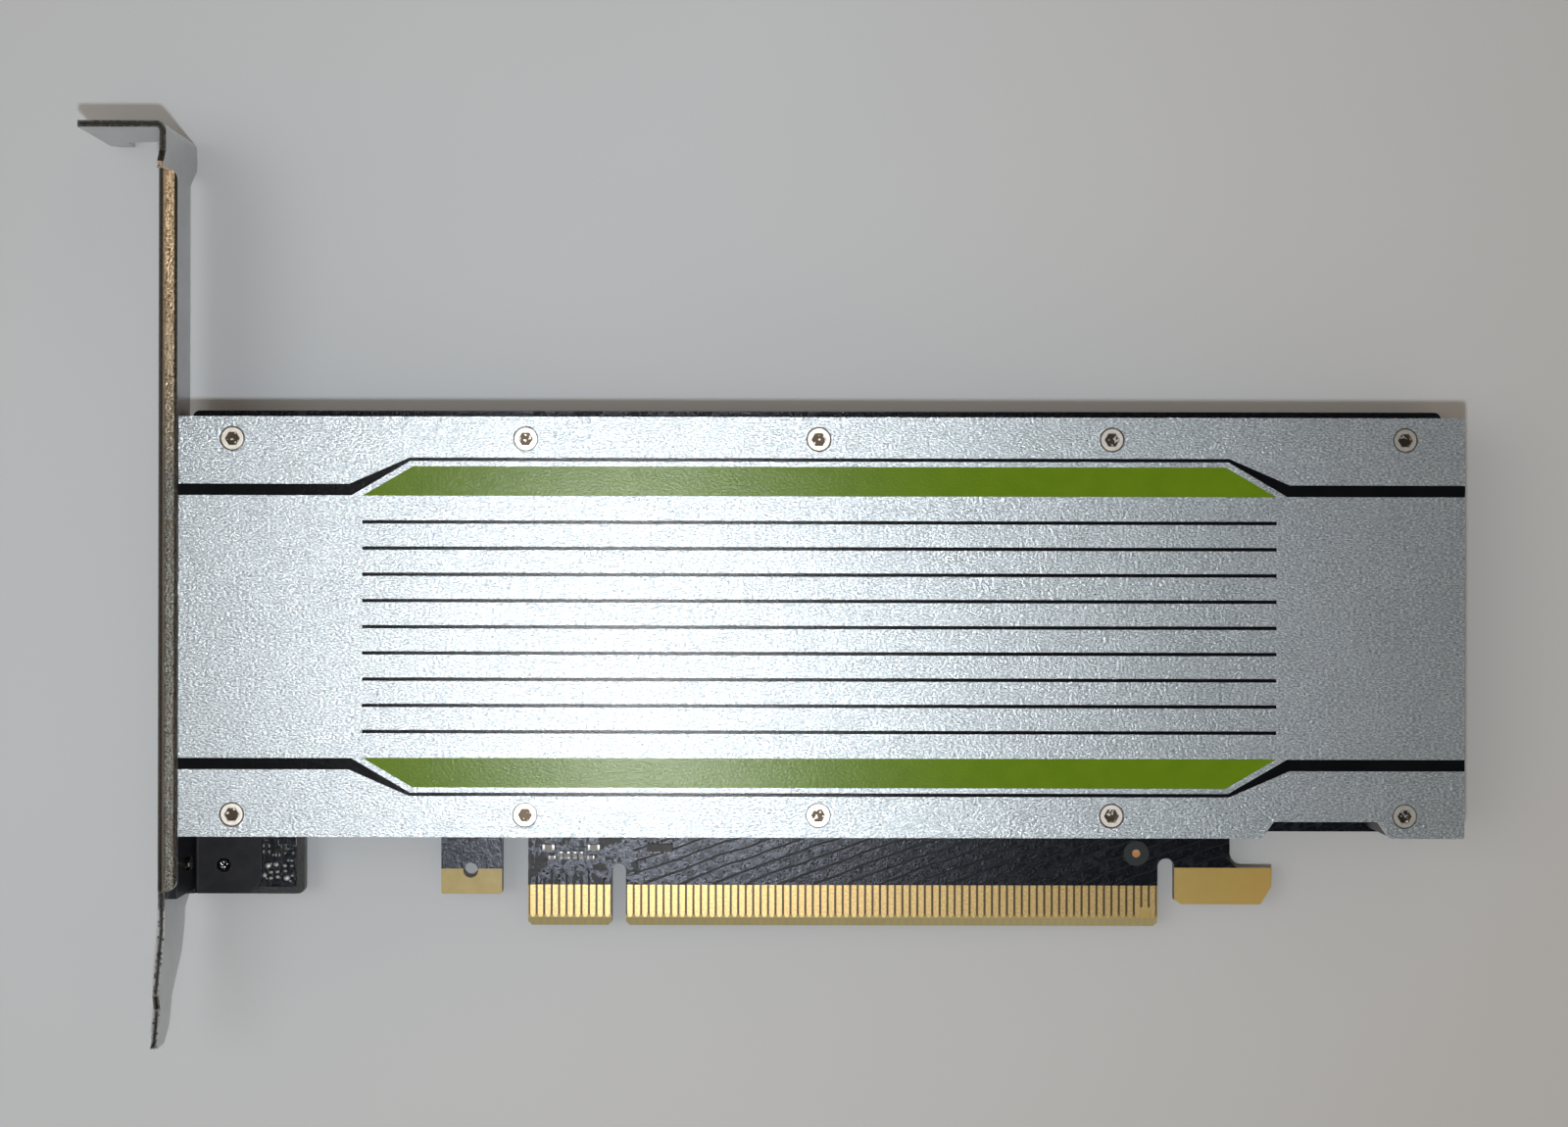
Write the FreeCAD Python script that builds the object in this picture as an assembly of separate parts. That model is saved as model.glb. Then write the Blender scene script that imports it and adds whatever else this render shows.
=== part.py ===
import FreeCAD, Part
import math
import os

# Passive accelerator card for a PCI Express slot.
#
# X runs along the card, away from the rear bracket; X = 0 is the centre of the
# key notch in the edge connector.  Y runs up from the connector's insertion
# edge, which is Y = 0.  Z = 0 is the middle plane of the circuit board, and +Z
# is the component side, where the heatsink and its cover are.  All sizes are
# in millimetres.

# ---- circuit board -------------------------------------------------------
board_thickness = 1.57
board_height = 68.90
key_to_left_end = 57.15
key_to_right_end = 110.0
shoulder_height = 12.77
board_corner_radius = 0.9
inner_corner_radius = 1.0
mask_thickness = 0.04

foot_left_width = 15.05
foot_bottom = 4.18

tab_outer_from_key = 23.8
tab_inner_from_key = 15.65
tab_hole_diameter = 2.0
tab_hole_from_key = 19.85
tab_hole_height = 7.35
tab_mask_height = 7.57
tab_corner_radius = 0.3

# ---- edge connector ------------------------------------------------------
contact_pitch = 1.0
contact_width = 0.70
contact_thickness = 0.04
contact_top = 5.45
contact_tip = 1.15
contact_taper = 0.35
contact_tip_width = 0.24
short_contact_rise = 0.9
contacts_left = 11
contacts_right = 71
key_to_first_contact = 1.5
contact_edge_margin = 0.65
key_notch_width = 1.9
key_notch_height = 8.3
bevel_height = 1.1
bevel_depth = 0.4
connector_corner = 0.5
mark_diameter = 1.06
mark_from_connector = 2.85
mark_below_shoulder = 3.0

# ---- retention hook ------------------------------------------------------
hook_slot_width = 2.25
hook_slot_height = 9.1
hook_neck_width = 7.4
hook_width = 13.0
hook_bottom = 2.98
hook_top = 7.87
hook_inner_chamfer_x = 0.95
hook_inner_chamfer_y = 0.60
hook_outer_chamfer_x = 1.45
hook_outer_chamfer_y = 2.35
hook_throat_radius = 1.6

# ---- cover plate ---------------------------------------------------------
cover_top_height = 14.0
cover_thickness = 1.5
cover_top_setback = 1.44
cover_bottom_setback = 0.68
cover_right_setback = 0.5
cover_corner_radius = 0.5
cover_to_flange_gap = 0.1
notch_right_from_end = 9.5
notch_width = 16.5
notch_depth = 2.15
notch_slope_run = 1.5

cover_screw_columns = 5
cover_screw_pitch = 37.67
cover_screw_from_left = 6.9
cover_screw_from_edge = 2.85
screw_head_diameter = 2.95
screw_head_height = 1.0
screw_head_recess = 0.12
screw_shank_diameter = 1.9
screw_length = 5.5
screw_socket_width = 1.6
screw_socket_depth = 0.75
countersink_clearance = 0.13
screw_hole_clearance = 0.2

# ---- printed stripes on the cover ----------------------------------------
print_thickness = 0.03
stripe_centre_from_right = 82.9
rim_from_edge = 5.5
rim_width = 0.46
rim_to_green = 0.65
green_width = 3.8
green_long_half = 58.7
green_short_half = 52.2
line_count = 9
line_width = 0.45
band_drop = 3.9
band_width = 1.48
slant_gap = 1.45
slant_at_band = 2.85
slant_at_rim = 0.88

# ---- heatsink ------------------------------------------------------------
rail_width = 5.6
rail_end_gap = 0.9
heatsink_edge_inset = 0.08
heatsink_end_inset = 0.4
plenum_length = 9.3
base_thickness = 2.8
fin_thickness = 0.3
fin_pitch = 1.9
fin_flange_gap = 0.06
fin_top_gap = 0.1
fin_side_gap = 0.35
fin_end_inset = 1.4
thread_depth = 5.0
post_diameter = 6.0

# ---- processor, memory and power stage -----------------------------------
chip_from_key = 20.0
substrate_size = 35.0
substrate_thickness = 1.65
substrate_corner_cut = 1.2
die_width = 24.0
die_height = 22.0
die_thickness = 0.75
paste_thickness = 0.06
spreader_size = 34.0
spreader_thickness = 1.4
post_offset_x = 24.0
post_wall_gap = 1.3

memory_length = 14.0
memory_width = 12.0
memory_thickness = 1.1
memory_first_offset = 36.0
memory_column_pitch = 17.0
memory_row_pitch = 15.0

phase_count = 5
phase_wall_gap = 0.8
pocket_clearance = 0.4
inductor_size = 6.5
inductor_thickness = 3.0
inductor_from_right = 18.0
power_pad_thickness = 0.6
stage_length = 6.0
stage_width = 5.0
stage_thickness = 0.9
stage_from_inductor = 7.6
polymer_length = 7.3
polymer_width = 4.3
polymer_thickness = 1.9
polymer_from_inductor = 8.6

flash_length = 4.0
flash_width = 5.2
flash_thickness = 1.6
crystal_length = 3.2
crystal_width = 2.5
crystal_thickness = 0.8
left_chips_from_processor = 63.2
flash_offset_y = -10.0
crystal_offset_y = 8.0
port_chip_length = 3.4
port_chip_width = 1.0
port_chip_thickness = 0.8
port_chip_from_key = 5.5
small_parts_below_shoulder = 2.27
large_ceramic_from_key = (3.34, 9.4)
small_ceramic_from_key = (3.72, 8.9)
upright_ceramic_from_key = (4.95, 5.83, 6.7, 7.7)
upright_row_drop = 1.03
small_row_drop = 1.33
large_ceramic = (1.6, 0.8)
small_ceramic = (1.0, 0.5)
ceramic_thickness = 0.55

# ---- rear bracket --------------------------------------------------------
bracket_length = 120.02
bracket_width = 18.42
sheet_thickness = 0.86
board_to_bracket = 0.51
bracket_bottom = -14.4
bracket_front_height = 14.3
bracket_tab_length = 11.43
bracket_bend_radius = 0.5
flange_width = 2.7
flange_bottom = 6.3
flange_top = 99.3
flange_end_radius = 1.6
neck_setback = 1.4
flange_root_depth = 3.0
neck_rise = 1.2
neck_rise_bottom_flat = 0.9
neck_rise_slope = 1.6
blade_step = 3.8
blade_step_top = 101.6
blade_step_bottom = 98.9
tongue_step = 2.4
tongue_step_top = 3.9
tongue_step_bottom = 2.5
tongue_kick = 1.35
tongue_kick_start = 1.0
tongue_kick_radius = 2.0
tongue_taper_top = -3.0
tongue_taper_bottom = -8.5
tongue_front_taper = 1.5
tongue_front_taper_top = -7.2
tongue_front_taper_bottom = -9.3
tongue_end_width = 5.8
tongue_end_corner = 2.0
screw_notch_width = 4.42
screw_notch_depth = 4.3
screw_notch_from_end = 5.2
screw_notch_radius = 0.6
tab_corner_cut = 1.2
vent_width = 3.5
vent_web = 0.9
vent_columns = 3
vent_rows = 13

# ---- angle that carries the bracket --------------------------------------
angle_thickness = 1.2
angle_bottom = 4.4
angle_top = 66.4
angle_foot_reach = 10.0
angle_lug_length = 8.9
angle_lug_height = 11.4
angle_lug_setback = 0.65
angle_bend_radius = 0.4
angle_corner_cut = 1.5
angle_hole_diameter = 2.0
angle_hole_from_bracket = 5.0
angle_lower_hole = 8.15
angle_upper_hole = 56.0
angle_relief = 0.4
angle_cover_gap = 0.1
angle_screw_below_face = 0.25
bracket_screw_height = 6.6
bracket_screw_head = 3.6
bracket_screw_head_height = 0.55
bracket_screw_clearance = 0.3
bracket_screw_socket = 0.4
bracket_screw_length = 2.6

# ---- back of the board ---------------------------------------------------
insulator_thickness = 0.25
cross_thickness = 1.0
cross_arm_width = 9.0
cross_hub_diameter = 20.0
back_head_diameter = 4.2
cross_head_diameter = 5.0
back_socket_width = 1.9
thread_run_out = 0.4
rail_screw_from_left = 6.0
rail_screw_from_right = 4.0
rail_screw_from_notch = 1.8
cross_hole_diameter = 8.0
sheet_margin = 0.5
back_head_height = 1.25
back_shank_diameter = 1.9
back_screw_reach = 3.6
rail_screw_count = 3
rail_screw_head_height = 1.0
back_ceramic_length = 1.6
back_ceramic_width = 0.8
back_ceramic_thickness = 0.8
back_ceramic_gap = 0.8
back_ceramic_rows = 6
back_ceramic_columns = 7
back_ceramic_bay_x = 17.6
back_ceramic_bay_y = 14.8
management_size = 7.0
management_thickness = 0.9
management_offset_x = 45.0
management_offset_y = -15.0

# ---- derived places ------------------------------------------------------
board_front = board_thickness / 2
board_back = -board_front
front = board_front + mask_thickness
back = -front
board_left = -key_to_left_end
board_right = key_to_right_end

connector_left = -(key_to_first_contact + (contacts_left - 1) * contact_pitch + contact_edge_margin)
connector_right = key_to_first_contact + (contacts_right - 1) * contact_pitch + contact_edge_margin
hook_left = connector_right + hook_slot_width
hook_right = hook_left + hook_width

bracket_inner = board_left - board_to_bracket
bracket_outer = bracket_inner - sheet_thickness
bracket_top = bracket_bottom + bracket_length
bracket_front = board_front + bracket_front_height
bracket_back = bracket_front - bracket_width
neck_front = bracket_front - neck_setback
flange_root = neck_front - flange_root_depth
blade_back = bracket_back + blade_step
tongue_back = blade_back + tongue_step
tongue_end_front = neck_front - tongue_front_taper
tongue_end_back = tongue_end_front - tongue_end_width
flange_edge = bracket_outer + flange_width

cover_left = flange_edge + cover_to_flange_gap
cover_right = board_right - cover_right_setback
cover_low = shoulder_height + cover_bottom_setback
cover_high = board_height - cover_top_setback
cover_middle = (cover_low + cover_high) / 2
cover_front = board_front + cover_top_height
cover_back = cover_front - cover_thickness
notch_right = cover_right - notch_right_from_end
notch_left = notch_right - notch_width

rail_left = cover_left + rail_end_gap
sink_right = cover_right - heatsink_end_inset
sink_low = cover_low + heatsink_edge_inset
sink_high = cover_high - heatsink_edge_inset
channel_low = sink_low + rail_width
channel_high = sink_high - rail_width
sink_left = cover_left + plenum_length
base_back = front + substrate_thickness + die_thickness + paste_thickness
base_front = base_back + base_thickness
angle_front = front + angle_thickness

chip_x = chip_from_key
chip_y = cover_middle
post_offset_y = (channel_high - channel_low) / 2 - post_wall_gap - post_diameter / 2
posts = [
    (chip_x + side * post_offset_x, chip_y + end * post_offset_y)
    for side in (-1, 1)
    for end in (-1, 1)
]
cover_screws_at = [
    (cover_left + cover_screw_from_left + column * cover_screw_pitch, y)
    for column in range(cover_screw_columns)
    for y in (cover_low + cover_screw_from_edge, cover_high - cover_screw_from_edge)
]
inductor_x = board_right - inductor_from_right
phase_room = channel_high - channel_low - 2 * phase_wall_gap - inductor_size
phase_pitch = phase_room / (phase_count - 1)
phase_offsets = [(i - (phase_count - 1) / 2) * phase_pitch for i in range(phase_count)]


# ---- small tools ---------------------------------------------------------
def at(x, y, z=0.0):
    return FreeCAD.Vector(x, y, z)


def box(x0, x1, y0, y1, z0, z1):
    """Block between two corners."""
    return Part.makeBox(x1 - x0, y1 - y0, z1 - z0, at(x0, y0, z0))


def rod(x, y, z0, z1, diameter):
    """Round bar along Z."""
    return Part.makeCylinder(diameter / 2, z1 - z0, at(x, y, z0))


def cone(x, y, z0, z1, diameter0, diameter1):
    """Tapered bar along Z."""
    return Part.makeCone(diameter0 / 2, diameter1 / 2, z1 - z0, at(x, y, z0))


def rounded_face(corners):
    """Flat face in the XY plane through (x, y, radius) corners."""
    arcs = []
    starts = []
    ends = []
    for i, (x, y, radius) in enumerate(corners):
        here = at(x, y)
        before = at(*corners[i - 1][:2]) - here
        after = at(*corners[(i + 1) % len(corners)][:2]) - here
        before.normalize()
        after.normalize()
        half = before.getAngle(after) / 2
        setback = radius / math.tan(half)
        starts.append(here + before * setback)
        ends.append(here + after * setback)
        inward = before + after
        if radius > 0:
            inward.normalize()
            middle = here + inward * (radius / math.sin(half) - radius)
            arcs.append(Part.Arc(starts[-1], middle, ends[-1]).toShape())
        else:
            arcs.append(None)
    edges = []
    for i, arc in enumerate(arcs):
        if arc:
            edges.append(arc)
        reach = starts[(i + 1) % len(corners)] - ends[i]
        if reach.Length > 1e-6:
            edges.append(Part.makeLine(ends[i], starts[(i + 1) % len(corners)]))
    return Part.Face(Part.Wire(edges))


def plate(corners, z0, z1):
    """Plate of the given outline between two heights."""
    flat = rounded_face(corners)
    flat.translate(at(0, 0, z0))
    return flat.extrude(at(0, 0, z1 - z0))


def sharp(points):
    """Corners without any rounding."""
    return [(x, y, 0) for x, y in points]


def strip(corners, y0, y1):
    """Bar along Y whose section is drawn with (x, z, radius) corners."""
    flat = rounded_face(corners)
    flat.rotate(at(0, 0), at(1, 0), 90)
    flat.translate(at(0, y0))
    return flat.extrude(at(0, y1 - y0))


def bar(corners, x0, x1):
    """Bar along X whose section is drawn with (y, z, radius) corners."""
    flat = rounded_face(corners)
    flat.rotate(at(0, 0), at(1, 1, 1), 120)
    flat.translate(at(x0, 0))
    return flat.extrude(at(x1 - x0, 0))


def hexagon(x, y, width):
    """Corner points of a hexagon with its flats across Y."""
    reach = width / math.sqrt(3)
    turns = [math.radians(60 * i) for i in range(6)]
    return [(x + reach * math.cos(t), y + reach * math.sin(t)) for t in turns]


def cut(body, tools):
    """Body with every tool taken away in one operation."""
    return body.cut(Part.makeCompound(tools)).removeSplitter()


def fuse(bodies):
    return bodies[0].multiFuse(bodies[1:]).removeSplitter()


def save(node, shapes):
    """Write one node, a single solid or a group of separate solids."""
    solids = [solid for shape in shapes for solid in shape.Solids]
    whole = solids[0] if len(solids) == 1 else Part.makeCompound(solids)
    whole.exportStep("parts/" + node + ".step")


# ---- circuit board -------------------------------------------------------
def board_corners():
    """Outline of the board, walked round from the lower left corner."""
    r = board_corner_radius
    inner = inner_corner_radius
    foot_right = board_left + foot_left_width
    tab_left = -tab_outer_from_key
    tab_right = -tab_inner_from_key
    key = key_notch_width / 2
    end = connector_corner
    slot_round = hook_slot_width / 2
    neck_right = hook_left + hook_neck_width
    return [
        (board_left, foot_bottom, r),
        (foot_right, foot_bottom, r),
        (foot_right, shoulder_height, inner),
        (tab_left, shoulder_height, inner),
        (tab_left, foot_bottom, tab_corner_radius),
        (tab_right, foot_bottom, tab_corner_radius),
        (tab_right, shoulder_height, inner),
        (connector_left, shoulder_height, inner),
        (connector_left, end, 0),
        (connector_left + end, 0, 0),
        (-key - end, 0, 0),
        (-key, end, 0),
        (-key, key_notch_height, key),
        (key, key_notch_height, key),
        (key, end, 0),
        (key + end, 0, 0),
        (connector_right - end, 0, 0),
        (connector_right, end, 0),
        (connector_right, hook_slot_height, slot_round),
        (hook_left, hook_slot_height, slot_round),
        (hook_left, hook_bottom + hook_inner_chamfer_y, 0),
        (hook_left + hook_inner_chamfer_x, hook_bottom, 0),
        (hook_right - hook_outer_chamfer_x, hook_bottom, 0),
        (hook_right, hook_bottom + hook_outer_chamfer_y, 0),
        (hook_right, hook_top, 0),
        (neck_right, hook_top, hook_throat_radius),
        (neck_right, shoulder_height, inner),
        (board_right, shoulder_height, r),
        (board_right, board_height, r),
        (board_left, board_height, r),
    ]


def bevel_wedges():
    """The two long wedges ground off the insertion edge, one on each face."""
    reach = board_thickness
    wedges = []
    for side in (-1, 1):
        section = [
            (-bevel_height, side * (board_front - bevel_depth) - side * bevel_depth),
            (bevel_height, side * board_front),
            (bevel_height, side * (board_front + reach)),
            (-bevel_height, side * (board_front + reach)),
        ]
        wedges.append(bar(sharp(section), connector_left - 1, connector_right + 0.5))
    return wedges


def board_holes(z0, z1):
    """Every hole through the board, between two heights."""
    holes = [rod(-tab_hole_from_key, tab_hole_height, z0, z1, tab_hole_diameter)]
    through = back_shank_diameter + 2 * screw_hole_clearance
    for x, y in posts + rail_screws_at() + angle_screws_at():
        holes.append(rod(x, y, z0, z1, through))
    return holes


def circuit_board():
    blank = plate(board_corners(), board_back, board_front)
    return cut(blank, bevel_wedges() + board_holes(board_back - 1, board_front + 1))


def solder_mask(z0, z1):
    """Lacquer on one face; it stops short of the contacts, the tab and the hook."""
    blank = plate(board_corners(), z0, z1)
    bare = [
        box(connector_left - 1, connector_right + 1, -1, contact_top, z0 - 1, z1 + 1),
        box(-tab_outer_from_key - 1, -tab_inner_from_key + 1, 0, tab_mask_height, z0 - 1, z1 + 1),
        box(hook_left - 1, hook_right + 1, 0, hook_top, z0 - 1, z1 + 1),
    ]
    return cut(blank, bare + board_holes(z0 - 1, z1 + 1))


def edge_contacts(z0, z1):
    """One row of contacts; the last but one on the component side is the short one."""
    places = [-key_to_first_contact - i * contact_pitch for i in range(contacts_left)]
    places += [key_to_first_contact + i * contact_pitch for i in range(contacts_right)]
    short_place = places[-2]
    half = contact_width / 2
    tip = contact_tip_width / 2
    rows = []
    for x in places:
        low = contact_tip + (short_contact_rise if x == short_place and z0 > 0 else 0)
        points = [
            (x - half, contact_top),
            (x - half, low + contact_taper),
            (x - tip, low),
            (x + tip, low),
            (x + half, low + contact_taper),
            (x + half, contact_top),
        ]
        rows.append(plate(sharp(points), z0, z1))
    return rows


def alignment_mark():
    """Round copper mark that placement machines look for."""
    x = connector_right - mark_from_connector
    y = shoulder_height - mark_below_shoulder
    return rod(x, y, front, front + contact_thickness, mark_diameter)


# ---- cover and its print -------------------------------------------------
def cover_corners(inset=0.0, left=cover_left, right=cover_right):
    """Outline of the cover with its latch notch, shrunk by an inset."""
    r = cover_corner_radius
    low = cover_low + inset
    high = cover_high - inset
    deep = cover_low + notch_depth + inset
    slope = notch_slope_run
    return [
        (left, low, 0),
        (notch_left - inset, low, 0),
        (notch_left + slope - inset, deep, 0),
        (notch_right - slope + inset, deep, 0),
        (notch_right + inset, low, 0),
        (right, low, 0),
        (right, high, r),
        (left, high, 0),
    ]


def cover_plate():
    blank = plate(cover_corners(), cover_back, cover_front)
    seat = screw_head_diameter + 2 * countersink_clearance
    bore = screw_shank_diameter + 2 * countersink_clearance
    depth = screw_head_recess + screw_head_height
    tools = []
    for x, y in cover_screws_at:
        tools.append(rod(x, y, cover_back - 1, cover_front + 1, bore))
        tools.append(cone(x, y, cover_front - depth, cover_front, bore, seat))
    return cut(blank, tools)


def cover_screws():
    """Countersunk screws with a hexagon socket, one at each rail thread."""
    screws = []
    top = cover_front - screw_head_recess
    for x, y in cover_screws_at:
        head = cone(x, y, top - screw_head_height, top, screw_shank_diameter, screw_head_diameter)
        shank = rod(x, y, top - screw_length, top - screw_head_height, screw_shank_diameter)
        socket = plate(sharp(hexagon(x, y, screw_socket_width)), top - screw_socket_depth, top + 1)
        screws.append(fuse([head, shank]).cut(socket))
    return screws


def stripe(points):
    """Printed field on the cover's face."""
    return plate(sharp(points), cover_front, cover_front + print_thickness)


def print_heights():
    """Distances of the print's fields from the cover's middle line."""
    rim = cover_high - cover_middle - rim_from_edge
    green_out = rim - rim_width / 2 - rim_to_green
    return rim, green_out, green_out - green_width, rim - band_drop


def green_stripes():
    """One tapered green field above the lines and one below, mirrored."""
    x = cover_right - stripe_centre_from_right
    _, green_out, green_in, _ = print_heights()
    fields = []
    for side in (-1, 1):
        inner = cover_middle + side * green_in
        outer = cover_middle + side * green_out
        points = [
            (x - green_long_half, inner),
            (x + green_long_half, inner),
            (x + green_short_half, outer),
            (x - green_short_half, outer),
        ]
        fields.append(stripe(points))
    return fields


def thin_lines():
    """Evenly spaced lines that fill the space between the green fields."""
    x = cover_right - stripe_centre_from_right
    _, _, green_in, _ = print_heights()
    pitch = 2 * green_in / (line_count + 1)
    left = x - green_long_half
    right = x + green_long_half
    fields = []
    for i in range(line_count):
        y = cover_middle + (i - (line_count - 1) / 2) * pitch
        low = y - line_width / 2
        high = y + line_width / 2
        fields.append(stripe([(left, low), (right, low), (right, high), (left, high)]))
    return fields


def rims():
    """A thin rim outside each green field, which widens into a band at both ends."""
    x = cover_right - stripe_centre_from_right
    rim, green_out, green_in, band = print_heights()
    slope = (green_long_half - green_short_half) / (green_out - green_in)

    def slant(height):
        """Half length of the rim's inner side, parallel to the green field's end."""
        return green_long_half + slant_gap - (height - green_in) * slope

    band_in = band - band_width / 2
    band_out = band + band_width / 2
    rim_in = rim - rim_width / 2
    rim_out = rim + rim_width / 2
    half = [
        (slant(band_in), band_in),
        (slant(rim_in), rim_in),
    ]
    far = [
        (slant(rim_out) + slant_at_rim, rim_out),
        (slant(band_out) + slant_at_band, band_out),
    ]
    fields = []
    for side in (-1, 1):
        points = [(cover_left, band_in)]
        points += [(x - reach, height) for reach, height in half]
        points += [(x + reach, height) for reach, height in reversed(half)]
        points += [(cover_right, band_in), (cover_right, band_out)]
        points += [(x + reach, height) for reach, height in reversed(far)]
        points += [(x - reach, height) for reach, height in far]
        points += [(cover_left, band_out)]
        fields.append(stripe([(px, cover_middle + side * py) for px, py in points]))
    return fields


# ---- heatsink ------------------------------------------------------------
def heatsink_body():
    """Machined base between two full-height rails, open at both ends."""
    inset = heatsink_edge_inset
    outline = cover_corners(inset, rail_left, sink_right)
    blank = plate(outline, front, cover_back)
    over = 1.0
    channel = box(
        rail_left - over, sink_right + over, channel_low, channel_high, base_front, cover_back + over
    )
    under = box(rail_left - over, sink_right + over, channel_low, channel_high, front - over, base_back)
    plenum = box(
        rail_left - over, sink_left, channel_low, channel_high, front - over, cover_back + over
    )
    relief_end = bracket_inner + angle_foot_reach + angle_relief
    relief_top = angle_front + angle_cover_gap
    relief = box(rail_left - over, relief_end, sink_low - over, sink_high + over, front - over, relief_top)
    body = cut(blank, [channel, under, plenum, relief])
    bosses = [rod(x, y, front, base_back + 0.5, post_diameter) for x, y in posts]
    body = fuse([body] + bosses)
    half = spreader_size / 2
    pocket_reach = inductor_size / 2 + pocket_clearance
    pocket_half = phase_pitch * (phase_count - 1) / 2 + pocket_reach
    pocket_ceiling = front + inductor_thickness + power_pad_thickness
    tools = [
        box(
            chip_x - half,
            chip_x + half,
            chip_y - half,
            chip_y + half,
            base_back - over,
            base_back + spreader_thickness,
        ),
        box(
            inductor_x - pocket_reach,
            inductor_x + pocket_reach,
            chip_y - pocket_half,
            chip_y + pocket_half,
            base_back - over,
            pocket_ceiling,
        ),
    ]
    for x, y in cover_screws_at:
        tools.append(rod(x, y, cover_back - thread_depth, cover_back + over, screw_shank_diameter))
    thread_end = front + back_screw_reach + thread_run_out
    for x, y in posts + rail_screws_at():
        tools.append(rod(x, y, front - over, thread_end, back_shank_diameter))
    return cut(body, tools)


def heatsink_fins():
    """Zipper fins: thin channels along X, each with a foot and a top flange."""
    low = base_front
    high = cover_back - fin_top_gap
    t = fin_thickness
    width = channel_high - channel_low - 2 * fin_side_gap
    count = int((width - t) // fin_pitch)
    start = (channel_low + channel_high) / 2 - (count * fin_pitch + t) / 2
    fins = []
    for i in range(count):
        y = start + i * fin_pitch
        reach = y + fin_pitch - fin_flange_gap
        section = [
            (y, low),
            (reach, low),
            (reach, low + t),
            (y + t, low + t),
            (y + t, high - t),
            (reach, high - t),
            (reach, high),
            (y, high),
        ]
        fins.append(bar(sharp(section), sink_left, sink_right - fin_end_inset))
    return fins


def heat_spreader():
    """Copper plate let into the underside of the base, over the processor."""
    half = spreader_size / 2
    return box(
        chip_x - half,
        chip_x + half,
        chip_y - half,
        chip_y + half,
        base_back,
        base_back + spreader_thickness,
    )


# ---- processor, memory and power stage -----------------------------------
def block(x, y, length, width, z0, z1):
    """Block centred on a point of the board."""
    return box(x - length / 2, x + length / 2, y - width / 2, y + width / 2, z0, z1)


def chip_substrate():
    corner = substrate_size / 2
    points = [
        (chip_x - corner, chip_y - corner),
        (chip_x + corner, chip_y - corner),
        (chip_x + corner, chip_y + corner),
        (chip_x - corner + substrate_corner_cut, chip_y + corner),
        (chip_x - corner, chip_y + corner - substrate_corner_cut),
    ]
    return plate(sharp(points), front, front + substrate_thickness)


def chip_die():
    z = front + substrate_thickness
    return block(chip_x, chip_y, die_width, die_height, z, z + die_thickness)


def thermal_paste():
    z = front + substrate_thickness + die_thickness
    return block(chip_x, chip_y, die_width, die_height, z, base_back)


def memory_places():
    places = []
    for side in (-1, 1):
        for column in range(2):
            for row in (-0.5, 0.5):
                x = chip_x + side * (memory_first_offset + column * memory_column_pitch)
                places.append((x, chip_y + row * memory_row_pitch))
    return places


def memory_chips():
    z = front + memory_thickness
    return [block(x, y, memory_length, memory_width, front, z) for x, y in memory_places()]


def memory_pads():
    z = front + memory_thickness
    return [block(x, y, memory_length, memory_width, z, base_back) for x, y in memory_places()]


def power_inductors():
    z = front + inductor_thickness
    size = inductor_size
    return [block(inductor_x, chip_y + dy, size, size, front, z) for dy in phase_offsets]


def inductor_pads():
    z = front + inductor_thickness
    size = inductor_size
    top = z + power_pad_thickness
    return [block(inductor_x, chip_y + dy, size, size, z, top) for dy in phase_offsets]


def power_stages():
    x = inductor_x - stage_from_inductor
    z = front + stage_thickness
    return [block(x, chip_y + dy, stage_length, stage_width, front, z) for dy in phase_offsets]


def stage_pads():
    x = inductor_x - stage_from_inductor
    z = front + stage_thickness
    return [block(x, chip_y + dy, stage_length, stage_width, z, base_back) for dy in phase_offsets]


def input_capacitors():
    x = inductor_x + polymer_from_inductor
    z = front + polymer_thickness
    return [block(x, chip_y + dy, polymer_length, polymer_width, front, z) for dy in phase_offsets]


def front_capacitors():
    """Small ceramic capacitors between the key notch and the heatsink."""
    z = front + ceramic_thickness
    y = shoulder_height - small_parts_below_shoulder
    length, width = small_ceramic
    large = [block(-x, y, *large_ceramic, front, z) for x in large_ceramic_from_key]
    flat = [block(-x, y - small_row_drop, length, width, front, z) for x in small_ceramic_from_key]
    upright = [block(-x, y - upright_row_drop, width, length, front, z) for x in upright_ceramic_from_key]
    return large + flat + upright


def port_controller():
    """Small control chip in front of the heatsink's lower rail."""
    y = shoulder_height - small_parts_below_shoulder
    z = front + port_chip_thickness
    return block(port_chip_from_key, y, port_chip_length, port_chip_width, front, z)


def flash_memory():
    x = chip_x - left_chips_from_processor
    y = chip_y + flash_offset_y
    return block(x, y, flash_length, flash_width, front, front + flash_thickness)


def clock_crystal():
    x = chip_x - left_chips_from_processor
    y = chip_y + crystal_offset_y
    return block(x, y, crystal_length, crystal_width, front, front + crystal_thickness)


# ---- rear bracket --------------------------------------------------------
def bracket_profile():
    """Blade, bend and tab drawn as one folded sheet, seen along Z."""
    t = sheet_thickness
    tab_end = bracket_inner - bracket_tab_length
    bend = bracket_bend_radius
    return [
        (bracket_inner - tongue_kick, bracket_bottom, 0),
        (bracket_inner, tongue_kick_start, tongue_kick_radius),
        (bracket_inner, bracket_top, bend + t),
        (tab_end, bracket_top, 0),
        (tab_end, bracket_top - t, 0),
        (bracket_outer, bracket_top - t, bend),
        (bracket_outer, tongue_kick_start, tongue_kick_radius),
        (bracket_outer - tongue_kick, bracket_bottom, 0),
    ]


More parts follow.
